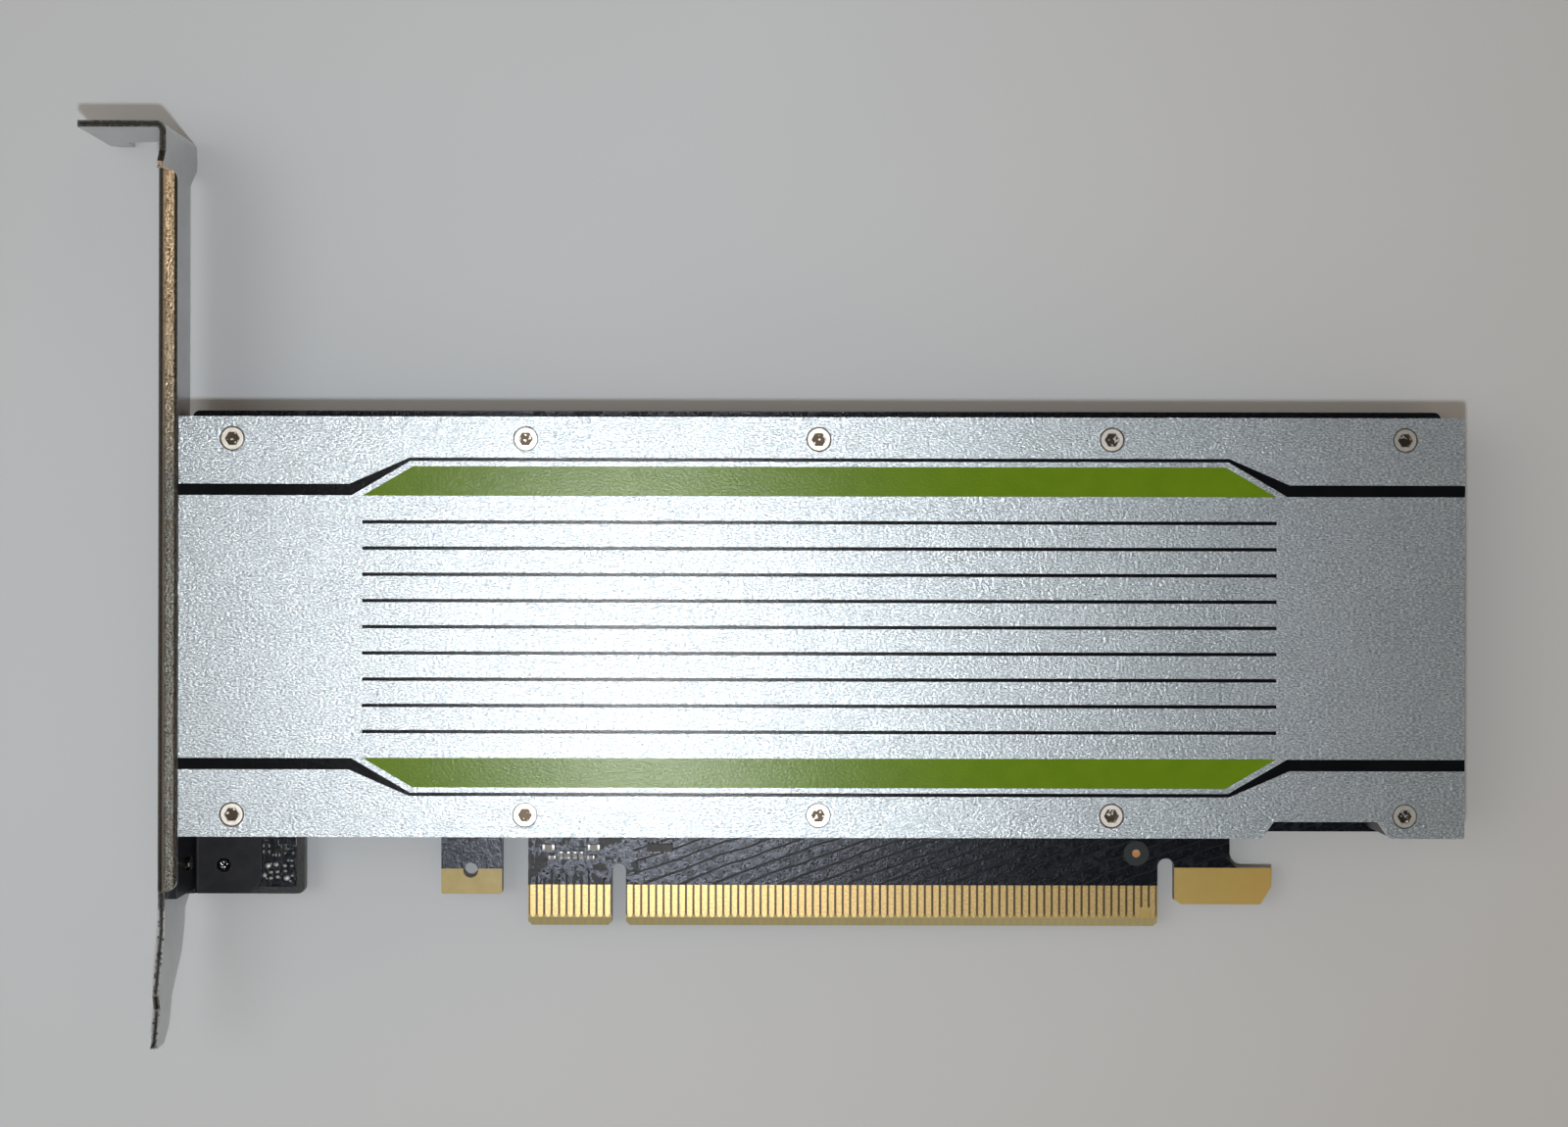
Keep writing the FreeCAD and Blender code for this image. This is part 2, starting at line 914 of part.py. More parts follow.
def vent_holes():
    """Honeycomb of vents in front of the fins."""
    pitch_y = vent_width + vent_web
    pitch_z = pitch_y * math.sqrt(3) / 2
    middle_z = (front + angle_thickness + cover_back) / 2
    holes = []
    for column in range(vent_columns):
        shift = 0.25 if column % 2 else -0.25
        z = middle_z + (column - (vent_columns - 1) / 2) * pitch_z
        for row in range(vent_rows):
            y = cover_middle + (row - (vent_rows - 1) / 2 + shift) * pitch_y
            reach = vent_width / math.sqrt(3)
            turns = [math.radians(60 * i + 30) for i in range(6)]
            points = [(y + reach * math.cos(t), z + reach * math.sin(t)) for t in turns]
            holes.append(bar(sharp(points), bracket_outer - 1, bracket_inner + 1))
    return holes


def rear_bracket():
    """Full-height bracket: vented blade, folded edge, screw tab and tongue."""
    t = sheet_thickness
    over = 5.0
    blade = plate(bracket_profile(), bracket_back, neck_front)
    bend = bracket_bend_radius
    section = [
        (bracket_outer, flange_root, 0),
        (bracket_outer, bracket_front, bend + t),
        (flange_edge, bracket_front, 0),
        (flange_edge, bracket_front - t, 0),
        (bracket_inner, bracket_front - t, bend),
        (bracket_inner, flange_root, 0),
    ]
    flange = strip(section, flange_bottom, flange_top)
    ends = [
        (bracket_outer - 1, flange_bottom - 1, 0),
        (bracket_outer - 1, flange_bottom, 0),
        (flange_edge, flange_bottom, flange_end_radius),
        (flange_edge, flange_top, flange_end_radius),
        (bracket_outer - 1, flange_top, 0),
        (bracket_outer - 1, flange_top + 1, 0),
        (flange_edge + 1, flange_top + 1, 0),
        (flange_edge + 1, flange_bottom - 1, 0),
    ]
    flange = cut(flange, [plate(ends, bracket_front - t - bend, bracket_front + 1)])
    window = box(
        bracket_outer - 1, bracket_inner + 1, flange_bottom, flange_top, flange_root, neck_front + 1
    )
    body = fuse([cut(blade, [window]), flange])

    back_cut = [
        (blade_step_top, bracket_back),
        (blade_step_bottom, blade_back),
        (tongue_step_top, blade_back),
        (tongue_step_bottom, tongue_back),
        (tongue_taper_top, tongue_back),
        (tongue_taper_bottom, tongue_end_back),
        (bracket_bottom + tongue_end_corner, tongue_end_back),
        (bracket_bottom, tongue_end_back + tongue_end_corner),
        (bracket_bottom - over, tongue_end_back + tongue_end_corner),
        (bracket_bottom - over, bracket_back - over),
        (blade_step_top, bracket_back - over),
    ]
    front_cut = [
        (tongue_front_taper_top, neck_front),
        (tongue_front_taper_bottom, tongue_end_front),
        (bracket_bottom - over, tongue_end_front),
        (bracket_bottom - over, neck_front + over),
        (tongue_front_taper_top, neck_front + over),
    ]
    side_cuts = [
        bar(sharp(section), bracket_outer - over, bracket_inner + over)
        for section in (back_cut, front_cut)
    ]
    rise_top = flange_top + neck_rise_bottom_flat + neck_rise_slope
    rise = [
        (flange_top, neck_front - 1),
        (rise_top, neck_front - 1),
        (rise_top, neck_front),
        (flange_top + neck_rise_bottom_flat, neck_front + neck_rise),
        (flange_top, neck_front + neck_rise),
    ]
    body = fuse([body, bar(sharp(rise), bracket_outer, bracket_inner)])

    tab_end = bracket_inner - bracket_tab_length
    notch_x = tab_end + screw_notch_from_end
    half = screw_notch_width / 2
    notch_z = bracket_back + screw_notch_depth
    notch = strip(
        [
            (notch_x - half, bracket_back - over, 0),
            (notch_x + half, bracket_back - over, 0),
            (notch_x + half, notch_z, screw_notch_radius),
            (notch_x - half, notch_z, screw_notch_radius),
        ],
        bracket_top - t - 2,
        bracket_top + 1,
    )
    corner = strip(
        sharp(
            [
                (tab_end - over, bracket_back - over),
                (tab_end + tab_corner_cut + over, bracket_back - over),
                (tab_end - over, bracket_back + tab_corner_cut + over),
            ]
        ),
        bracket_top - t - 2,
        bracket_top + 1,
    )
    bore = screw_shank_diameter + bracket_screw_clearance
    seat = bracket_screw_head + bracket_screw_clearance
    seats = []
    for y in bracket_screw_heights():
        axis = at(1, 0, 0)
        place = at(bracket_outer - 1, y, bracket_screw_height)
        seats.append(Part.makeCylinder(bore / 2, t + 2, place, axis))
        place = at(bracket_outer, y, bracket_screw_height)
        seats.append(Part.makeCone(seat / 2, bore / 2, bracket_screw_head_height, place, axis))
    return cut(body, side_cuts + [notch, corner] + seats + vent_holes())


def bracket_screw_heights():
    half = angle_lug_length / 2
    return [angle_bottom + half, angle_top - half]


def bracket_screws():
    """Countersunk screws from outside the bracket into the angle's lugs."""
    screws = []
    axis = at(1, 0, 0)
    for y in bracket_screw_heights():
        place = at(bracket_outer, y, bracket_screw_height)
        shank_r = screw_shank_diameter / 2
        head = Part.makeCone(bracket_screw_head / 2, shank_r, bracket_screw_head_height, place, axis)
        shank = Part.makeCylinder(shank_r, bracket_screw_length, place, axis)
        socket = Part.makeCylinder(screw_socket_width / 2, bracket_screw_socket, place, axis)
        screws.append(fuse([head, shank]).cut(socket))
    return screws


def angle_screws_at():
    x = bracket_inner + angle_hole_from_bracket
    return [(x, angle_lower_hole), (x, angle_upper_hole)]


def mounting_angle():
    """Folded steel angle: a foot on the board and two lugs behind the bracket."""
    t = angle_thickness
    bend = angle_bend_radius
    lug_front = front + angle_lug_height
    reach = bracket_inner + angle_foot_reach
    section = [
        (bracket_inner, lug_front, 0),
        (bracket_inner, front, bend + t),
        (reach, front, 0),
        (reach, front + t, 0),
        (bracket_inner + t, front + t, bend),
        (bracket_inner + t, lug_front, 0),
    ]
    body = strip(section, angle_bottom, angle_top)
    lower_lug = angle_bottom + angle_lug_length
    upper_lug = angle_top - angle_lug_length
    gap = box(
        bracket_inner - 1, bracket_inner + t + bend, lower_lug, upper_lug, front - 1, lug_front + 1
    )
    corner = angle_corner_cut
    trim = [
        (reach - corner, angle_bottom - 1),
        (reach - corner, angle_bottom),
        (reach, angle_bottom + corner),
        (reach + 1, angle_bottom + corner),
        (reach + 1, angle_bottom - 1),
    ]
    low = angle_bottom + angle_lug_setback
    end = box(bracket_inner - 1, reach, angle_bottom - 1, low, front + t + bend, lug_front + 1)
    tools = [gap, end, plate(sharp(trim), front - 1, front + t + 1)]
    for x, y in angle_screws_at():
        tools.append(rod(x, y, front - 1, front + t + 1, angle_hole_diameter))
    for y in bracket_screw_heights():
        place = at(bracket_inner - 1, y, bracket_screw_height)
        tools.append(Part.makeCylinder(screw_shank_diameter / 2, t + 2, place, at(1, 0, 0)))
    return cut(body, tools)


def angle_screws():
    """Screws from the back of the board into the angle's foot."""
    screws = []
    for x, y in angle_screws_at():
        head = rod(x, y, back - rail_screw_head_height, back, back_head_diameter)
        shank = rod(x, y, back, front + angle_thickness - angle_screw_below_face, angle_hole_diameter)
        screws.append(cut(fuse([head, shank]), [back_socket(x, y, back - rail_screw_head_height)]))
    return screws


# ---- back of the board ---------------------------------------------------
def back_socket(x, y, z):
    """Hexagon recess in a screw head that faces away from the board."""
    return plate(sharp(hexagon(x, y, back_socket_width)), z - 1, z + screw_socket_depth)


def rail_screws_at():
    """Screws from the back into the rails, spaced evenly along both."""
    first = sink_left + rail_screw_from_left
    last = sink_right - rail_screw_from_right
    step = (last - first) / (rail_screw_count - 1)
    inset = notch_depth + rail_screw_from_notch
    rows = (sink_low + inset, sink_high - inset)
    return [(first + i * step, y) for i in range(rail_screw_count) for y in rows]


def heatsink_screws():
    """Pan head screws that pull the board onto the rails."""
    screws = []
    for x, y in rail_screws_at():
        head = rod(x, y, back - rail_screw_head_height, back, back_head_diameter)
        shank = rod(x, y, back, front + back_screw_reach, back_shank_diameter)
        screws.append(cut(fuse([head, shank]), [back_socket(x, y, back - rail_screw_head_height)]))
    return screws


def cross_face(arm_width, hub_diameter, z0, z1):
    """Four arms from a round hub to the posts, as one flat plate."""
    hub = rod(chip_x, chip_y, z0, z1, hub_diameter)
    bodies = [hub]
    for x, y in posts:
        dx = x - chip_x
        dy = y - chip_y
        reach = math.hypot(dx, dy)
        arm = box(0, reach, -arm_width / 2, arm_width / 2, z0, z1)
        arm.rotate(at(0, 0), at(0, 0, 1), math.degrees(math.atan2(dy, dx)))
        arm.translate(at(chip_x, chip_y))
        bodies.append(arm)
        bodies.append(rod(x, y, z0, z1, arm_width))
    return fuse(bodies)


def cross_holes(z0, z1):
    through = back_shank_diameter + 2 * screw_hole_clearance
    return [rod(x, y, z0, z1, through) for x, y in posts]


def retention_cross():
    """Steel cross that spreads the pull of the four screws behind the processor."""
    z1 = back - insulator_thickness
    z0 = z1 - cross_thickness
    body = cross_face(cross_arm_width, cross_hub_diameter, z0, z1)
    middle_hole = rod(chip_x, chip_y, z0 - 1, z1 + 1, cross_hole_diameter)
    return cut(body, cross_holes(z0 - 1, z1 + 1) + [middle_hole])


def insulator_sheet():
    """Thin plastic sheet between the cross and the board."""
    z1 = back
    z0 = z1 - insulator_thickness
    body = cross_face(cross_arm_width + 2 * sheet_margin, cross_hub_diameter + 2 * sheet_margin, z0, z1)
    return cut(body, cross_holes(z0 - 1, z1 + 1))


def cross_screws():
    """Screws through the cross and the board into the heatsink's posts."""
    screws = []
    seat = back - insulator_thickness - cross_thickness
    for x, y in posts:
        head = rod(x, y, seat - back_head_height, seat, cross_head_diameter)
        shank = rod(x, y, seat, front + back_screw_reach, back_shank_diameter)
        screws.append(cut(fuse([head, shank]), [back_socket(x, y, seat - back_head_height)]))
    return screws


def back_capacitors():
    """Ceramic capacitors in the four bays between the arms of the cross."""
    parts = []
    z = back - back_ceramic_thickness
    length = back_ceramic_length
    width = back_ceramic_width
    for side in (-1, 1):
        for column in range(2):
            x = chip_x + side * (back_ceramic_bay_x + column * (length + back_ceramic_gap))
            for row in range(back_ceramic_rows):
                offset = (row - (back_ceramic_rows - 1) / 2) * (width + back_ceramic_gap)
                parts.append(block(x, chip_y + offset, length, width, z, back))
        y = chip_y + side * back_ceramic_bay_y
        for column in range(back_ceramic_columns):
            offset = (column - (back_ceramic_columns - 1) / 2) * (width + back_ceramic_gap)
            parts.append(block(chip_x + offset, y, width, length, z, back))
    return parts


def back_polymer_capacitors():
    x = inductor_x - stage_from_inductor
    z = back - polymer_thickness
    return [block(x, chip_y + dy, polymer_length, polymer_width, z, back) for dy in phase_offsets]


def management_chip():
    x = chip_x + management_offset_x
    y = chip_y + management_offset_y
    return block(x, y, management_size, management_size, back - management_thickness, back)


# ---- build ---------------------------------------------------------------
def build():
    os.makedirs("parts", exist_ok=True)
    save("circuit_board", [circuit_board()])
    save("solder_mask_front", [solder_mask(board_front, front)])
    save("solder_mask_back", [solder_mask(back, board_back)])
    save("edge_contacts_front", edge_contacts(board_front, board_front + contact_thickness))
    save("edge_contacts_back", edge_contacts(board_back - contact_thickness, board_back))
    save("alignment_mark", [alignment_mark()])
    save("cover_plate", [cover_plate()])
    save("cover_screws", cover_screws())
    save("green_stripes", green_stripes())
    save("black_stripes", thin_lines() + rims())
    save("heatsink_body", [heatsink_body()])
    save("heatsink_fins", heatsink_fins())
    save("heat_spreader", [heat_spreader()])
    save("chip_substrate", [chip_substrate()])
    save("chip_die", [chip_die()])
    save("thermal_paste", [thermal_paste()])
    save("memory_chips", memory_chips())
    save("memory_pads", memory_pads())
    save("power_inductors", power_inductors())
    save("inductor_pads", inductor_pads())
    save("power_stages", power_stages())
    save("stage_pads", stage_pads())
    save("input_capacitors", input_capacitors())
    save("front_capacitors", front_capacitors())
    save("port_controller", [port_controller()])
    save("flash_memory", [flash_memory()])
    save("clock_crystal", [clock_crystal()])
    save("rear_bracket", [rear_bracket()])
    save("bracket_screws", bracket_screws())
    save("mounting_angle", [mounting_angle()])
    save("angle_screws", angle_screws())
    save("heatsink_screws", heatsink_screws())
    save("retention_cross", [retention_cross()])
    save("insulator_sheet", [insulator_sheet()])
    save("cross_screws", cross_screws())
    save("back_capacitors", back_capacitors())
    save("back_polymer_capacitors", back_polymer_capacitors())
    save("management_chip", [management_chip()])


build()
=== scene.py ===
# %% [markdown]
# # A passive accelerator card
# The card comes ready made from CAD: every plate, screw and chip has its real
# shape.  This lesson gives it its surfaces, adds the smallest parts by hand,
# and sets up floor, lamps and camera.  The CAD model is loaded first, because
# the floor's height and the pins' places are read from it.

# %% Load the card
import bpy
import math
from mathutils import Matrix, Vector


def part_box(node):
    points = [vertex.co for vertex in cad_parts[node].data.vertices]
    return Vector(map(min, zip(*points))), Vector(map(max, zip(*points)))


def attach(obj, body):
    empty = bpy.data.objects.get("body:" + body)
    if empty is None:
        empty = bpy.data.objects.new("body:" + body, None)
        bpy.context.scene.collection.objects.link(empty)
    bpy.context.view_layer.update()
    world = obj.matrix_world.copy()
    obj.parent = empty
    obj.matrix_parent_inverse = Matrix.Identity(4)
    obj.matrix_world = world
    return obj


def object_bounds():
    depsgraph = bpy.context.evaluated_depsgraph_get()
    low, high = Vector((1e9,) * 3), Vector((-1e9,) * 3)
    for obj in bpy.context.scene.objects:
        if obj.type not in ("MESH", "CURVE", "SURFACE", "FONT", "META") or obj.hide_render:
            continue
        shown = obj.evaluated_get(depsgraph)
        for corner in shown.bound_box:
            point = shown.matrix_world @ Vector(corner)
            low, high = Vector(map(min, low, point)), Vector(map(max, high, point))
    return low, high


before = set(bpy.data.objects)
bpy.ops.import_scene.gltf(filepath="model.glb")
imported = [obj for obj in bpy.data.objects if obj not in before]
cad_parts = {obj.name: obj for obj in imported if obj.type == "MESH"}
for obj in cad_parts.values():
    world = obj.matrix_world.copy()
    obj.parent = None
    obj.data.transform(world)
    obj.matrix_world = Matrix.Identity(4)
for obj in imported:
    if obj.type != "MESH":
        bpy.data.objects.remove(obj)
cad_low, cad_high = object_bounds()
print("nodes:", len(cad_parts), "size in mm:", [round(v * 1000, 1) for v in cad_high - cad_low])

# %% [markdown]
# ## Floor
# The card lies on a plain pale floor.  A plane at the height of its lowest
# screw heads is enough.  The colour is slightly uneven, as painted board is, so
# the floor doesn't look like a void.

# %% Floor plane
MM = 0.001
FLOOR_SIZE = 4.0             # m, so that its rim stays out of sight from above


def deselect():
    """Leaves nothing selected, because an operator acts on all that is."""
    if bpy.context.object and bpy.context.object.mode != "OBJECT":
        bpy.ops.object.mode_set(mode="OBJECT")
    bpy.ops.object.select_all(action="DESELECT")


deselect()
middle = (cad_low + cad_high) / 2
bpy.ops.mesh.primitive_plane_add(size=FLOOR_SIZE, location=(middle.x, middle.y, cad_low.z))
floor = bpy.context.object
floor.name = "floor"
bpy.ops.object.transform_apply(location=True)
print("floor at", round(cad_low.z / MM, 3), "mm")

# %% [markdown]
# ## Material helpers
# A material here is one Principled shader with a few nodes in front of it.
# Small helpers keep the later cells short.  One makes the material and one adds
# a node and sets its inputs by name.  The others add the few nodes that nearly
# every finish needs: ranges, masks, mixes, noise and the place on the card.

# %% New material and new node
def shader(name, color, roughness, metallic=0.0):
    """A new material; gives back the material, its node tree and its shader."""
    made = bpy.data.materials.new(name)
    made.use_nodes = True
    tree = made.node_tree
    body = tree.nodes["Principled BSDF"]
    body.inputs["Base Color"].default_value = (*color, 1)
    body.inputs["Roughness"].default_value = roughness
    body.inputs["Metallic"].default_value = metallic
    return made, tree, body


def add(tree, kind, links=None, values=None, **settings):
    """A new node: its settings, its plain input values and what feeds it."""
    made = tree.nodes.new(kind)
    for key, value in settings.items():
        setattr(made, key, value)
    for key, value in (values or {}).items():
        made.inputs[key].default_value = value
    for key, source in (links or {}).items():
        tree.links.new(source, made.inputs[key])
    return made


# %% Values and masks
def span(tree, source, low, high, first=0.0, second=1.0):
    """Turns a value between low and high into first to second, and no further."""
    made = add(tree, "ShaderNodeMapRange", {0: source}, {1: low, 2: high, 3: first, 4: second})
    return made.outputs[0]


def both(tree, first, second, operation="MULTIPLY"):
    """Two values taken together by one sum; each is an output or a number."""
    links = {i: v for i, v in enumerate((first, second)) if not isinstance(v, (int, float))}
    values = {i: v for i, v in enumerate((first, second)) if isinstance(v, (int, float))}
    return add(tree, "ShaderNodeMath", links, values, operation=operation).outputs[0]


def band(tree, source, rise, fall):
    """A mask that is 1 from the end of its rise to the start of its fall, and 0 outside."""
    return both(tree, span(tree, source, *rise), span(tree, source, *fall, 1.0, 0.0))


def inverse(tree, mask):
    """The mask of all that another mask leaves out."""
    return both(tree, 1.0, mask, "SUBTRACT")


def tint(tree, mask, first, second):
    """One colour over another by a mask; each is an output or three numbers."""
    made = add(tree, "ShaderNodeMix", {0: mask}, data_type="RGBA")
    for slot, color in ((6, first), (7, second)):
        if isinstance(color, tuple):
            made.inputs[slot].default_value = (*color, 1)
        else:
            tree.links.new(color, made.inputs[slot])
    return made.outputs[2]


# %% Place, direction and noise
def millimetres(tree):
    """The place on the card, in mm."""
    where = tree.nodes.new("ShaderNodeTexCoord")
    scaled = add(
        tree, "ShaderNodeVectorMath", {0: where.outputs["Object"]}, {"Scale": 1 / MM}, operation="SCALE"
    )
    return scaled.outputs[0]


def axes(tree):
    """The place on the card in mm, as X, Y and Z."""
    parts = add(tree, "ShaderNodeSeparateXYZ", {0: millimetres(tree)})
    return parts.outputs[0], parts.outputs[1], parts.outputs[2]


def distance(tree, place, point):
    """How far a place is from one fixed point, in mm."""
    return add(tree, "ShaderNodeVectorMath", {0: place}, {1: point}, operation="DISTANCE").outputs["Value"]


def upright(tree):
    """How far a face looks up or down: 1 on flat faces, 0 on side faces."""
    surface = tree.nodes.new("ShaderNodeNewGeometry")
    parts = add(tree, "ShaderNodeSeparateXYZ", {0: surface.outputs["Normal"]})
    return add(tree, "ShaderNodeMath", {0: parts.outputs[2]}, operation="ABSOLUTE").outputs[0]


def noise(tree, place, scale, detail, **more):
    """Soft random values; the scale, in patches per mm, is an output or a number."""
    links, values = {"Vector": place}, {"Detail": detail, **more}
    if isinstance(scale, (int, float)):
        values["Scale"] = scale
    else:
        links["Scale"] = scale
    return add(tree, "ShaderNodeTexNoise", links, values).outputs[0]


# %% Giving a material to pieces
def dress(material, *names):
    """Gives a material to the CAD nodes of these names."""
    for name in names:
        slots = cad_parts[name].data.materials
        for index in range(len(slots)):
            slots[index] = material
    print(material.name, "->", ", ".join(names))


def coat(piece, material):
    """Gives a piece made by hand its one material."""
    piece.data.materials.clear()
    piece.data.materials.append(material)
    print(material.name, "->", piece.name)


# %% [markdown]
# ## Effects shared by many finishes
# Real surfaces are never one flat value.  Four effects come back again and
# again: a cloudy change of tone, a fine grain, a stretched blasted grain, and
# a mask along edges, which serves both for rub and for painted shade.  Each is a
# node group with its own inputs, so a finish only says how large and how strong.
# All of them work in millimetres on the object's own coordinates.

# %% Group helpers
FLOAT, COLOR = "NodeSocketFloat", "NodeSocketColor"


def group(name, inputs, outputs):
    """A new node group; gives back it, what enters, what leaves and the place in mm."""
    made = bpy.data.node_groups.new(name, "ShaderNodeTree")
    for label, kind, value in inputs:
        made.interface.new_socket(label, in_out="INPUT", socket_type=kind).default_value = value
    for label, kind in outputs:
        made.interface.new_socket(label, in_out="OUTPUT", socket_type=kind)
    enter = made.nodes.new("NodeGroupInput")
    leave = made.nodes.new("NodeGroupOutput")
    return made, enter.outputs, leave.inputs, millimetres(made)


def use(tree, tool, **values):
    """Places a group in a material with its own values."""
    made = tree.nodes.new("ShaderNodeGroup")
    made.node_tree = tool
    for key, value in values.items():
        made.inputs[key.replace("_", " ")].default_value = value
    return made


# %% Cloudy tone
cloudy, give, take, place = group(
    "cloudy tone",
    [("First", COLOR, (1, 1, 1, 1)), ("Second", COLOR, (0, 0, 0, 1)), ("Size", FLOAT, 10.0)],
    [("Color", COLOR), ("Mask", FLOAT)],
)
cloud = noise(cloudy, place, both(cloudy, 1.0, give["Size"], "DIVIDE"), 4.0)
spread = span(cloudy, cloud, 0.35, 0.65)
cloudy.links.new(tint(cloudy, spread, give["First"], give["Second"]), take["Color"])
cloudy.links.new(spread, take["Mask"])
print("group", cloudy.name)

# %% Fine grain
grain, give, take, place = group("fine grain", [("Size", FLOAT, 0.3)], [("Height", FLOAT)])
bumps = noise(grain, place, both(grain, 1.0, give["Size"], "DIVIDE"), 3.0, Roughness=0.6)
grain.links.new(bumps, take["Height"])
print("group", grain.name)

# %% Blasted grain
blasted, give, take, place = group(
    "blasted grain", [("Length", FLOAT, 0.8), ("Width", FLOAT, 0.4)], [("Height", FLOAT)]
)
stretch = add(blasted, "ShaderNodeCombineXYZ", {0: give["Length"], 1: give["Width"], 2: give["Width"]})
squeezed = add(blasted, "ShaderNodeVectorMath", {0: place, 1: stretch.outputs[0]}, operation="DIVIDE")
worms = noise(blasted, squeezed.outputs[0], 1.0, 2.0, Roughness=0.55, Distortion=0.35)
blasted.links.new(worms, take["Height"])
print("group", blasted.name)

# %% Edge rub and shade
edge_rub_and_shade, give, take, place = group("edge rub and shade", [("Width", FLOAT, 0.2), ("Patch", FLOAT, 1.5)], [("Mask", FLOAT)])
rounded = add(edge_rub_and_shade, "ShaderNodeBevel", {"Radius": both(edge_rub_and_shade, give["Width"], MM)}, samples=6)
surface = edge_rub_and_shade.nodes.new("ShaderNodeNewGeometry")
faces = {0: rounded.outputs[0], 1: surface.outputs["Normal"]}
match = add(edge_rub_and_shade, "ShaderNodeVectorMath", faces, operation="DOT_PRODUCT")
edge = span(edge_rub_and_shade, match.outputs["Value"], 0.995, 0.93)
patches = noise(edge_rub_and_shade, place, both(edge_rub_and_shade, 1.0, give["Patch"], "DIVIDE"), 3.0)
edge_rub_and_shade.links.new(both(edge_rub_and_shade, edge, span(edge_rub_and_shade, patches, 0.35, 0.6)), take["Mask"])
print("group", edge_rub_and_shade.name)


# %% Relief, roughness and tone
def relief(tree, body, height, depth):
    """Feeds a height into the shader's normal; depth is in millimetres."""
    bump = add(tree, "ShaderNodeBump", {"Height": height}, {"Distance": depth * MM, "Strength": 1.0})
    tree.links.new(bump.outputs[0], body.inputs["Normal"])


def grained(tree, body, size, depth):
    """A fine grain as relief; its size and depth are in millimetres."""
    relief(tree, body, use(tree, grain, Size=size).outputs["Height"], depth)


def rough_range(tree, body, mask, low, high):
    """Roughness between two values, by a mask."""
    tree.links.new(span(tree, mask, 0.0, 1.0, low, high), body.inputs["Roughness"])


def two_tone(tree, body, first, second, size):
    """Cloudy colour from one tone to the other; gives back the mask."""
    tone = use(tree, cloudy, First=(*first, 1), Second=(*second, 1), Size=size)
    tree.links.new(tone.outputs["Color"], body.inputs["Base Color"])
    return tone.outputs["Mask"]


# %% [markdown]
# ## Floor finish
# Painted board is nearly white grey and matt.  Two clouded greys give it life.
# A painted fall-off of light makes it slowly warmer and darker from one corner
# to the other, in place of a lamp's fall-off.

# %% Floor material
# the fade is a painted fall-off of light in the floor's own colour
FADE_START, FADE_END = -80.0, 130.0  # mm, where the fade starts and ends
FADE_SLANT = 0.8                     # how much of Y is taken off X, so the fade runs slantwise
paint, tree, body = shader("floor paint", (0.46, 0.46, 0.45), 0.75)
x, y, _ = axes(tree)
near = use(tree, cloudy, First=(0.472, 0.472, 0.468, 1), Second=(0.484, 0.483, 0.478, 1), Size=90.0)
# painted fall-off of light: a warmer, darker grey towards one corner
painted_falloff = span(tree, both(tree, x, both(tree, y, FADE_SLANT), "SUBTRACT"), FADE_START, FADE_END)
tree.links.new(tint(tree, painted_falloff, near.outputs["Color"], (0.415, 0.392, 0.364)), body.inputs["Base Color"])
grained(tree, body, 0.6, 0.01)
coat(floor, paint)

# %% [markdown]
# ## The cover
# The cover is an aluminium plate, bead blasted after rolling and clear
# anodised.  The beads leave tiny dents that run into short wriggling lines
# along the sheet, so its grain is a noise stretched lengthwise, used as a
# height.  The same height gives pale, bluish painted glints on the crests and
# painted shade in the pits, which a height alone can't do at this size.

# %% Blasted aluminium
DENT_LENGTH, DENT_WIDTH = 0.40, 0.17  # mm, of the short lines that the beads leave
aluminium, tree, body = shader("blasted aluminium", (0.66, 0.70, 0.73), 0.36, 1.0)
dents = use(tree, blasted, Length=DENT_LENGTH, Width=DENT_WIDTH).outputs["Height"]
tone = use(tree, cloudy, First=(0.595, 0.65, 0.685, 1), Second=(0.635, 0.69, 0.725, 1), Size=6.0)
# painted highlight: pale bluish glints on the crests; painted shade in the pits
glint_crests = span(tree, dents, 0.50, 0.63)
shaded_pits = span(tree, dents, 0.36, 0.50, 0.55, 0.0)
painted_glint = tint(tree, glint_crests, tone.outputs["Color"], (0.92, 0.98, 1.0))
tree.links.new(tint(tree, shaded_pits, painted_glint, (0.26, 0.30, 0.34)), body.inputs["Base Color"])
rough_range(tree, body, dents, 0.25, 0.34)
relief(tree, body, dents, 0.086)
dress(aluminium, "cover_plate")

# %% [markdown]
# ## The print
# Screen-printed lacquer lies over the blasted grain and keeps its relief, only
# softer.  Green and black differ in colour and gloss alone, so one function
# makes both.

# %% Printed lacquer
def lacquer(name, first, second, gloss):
    """Lacquer over the blasted sheet, whose dents still show in it."""
    made, tree, body = shader(name, first, 0.28)
    body.inputs["Specular IOR Level"].default_value = gloss
    dents = use(tree, blasted, Length=DENT_LENGTH, Width=DENT_WIDTH).outputs["Height"]
    two_tone(tree, body, first, second, 3.0)
    rough_range(tree, body, dents, 0.13, 0.20)
    relief(tree, body, dents, 0.026)
    return made


green = lacquer("green lacquer", (0.088, 0.152, 0.002), (0.100, 0.166, 0.003), 0.34)
black = lacquer("black lacquer", (0.0008, 0.0008, 0.0010), (0.0018, 0.0018, 0.0022), 0.30)
dress(green, "green_stripes")
dress(black, "black_stripes")
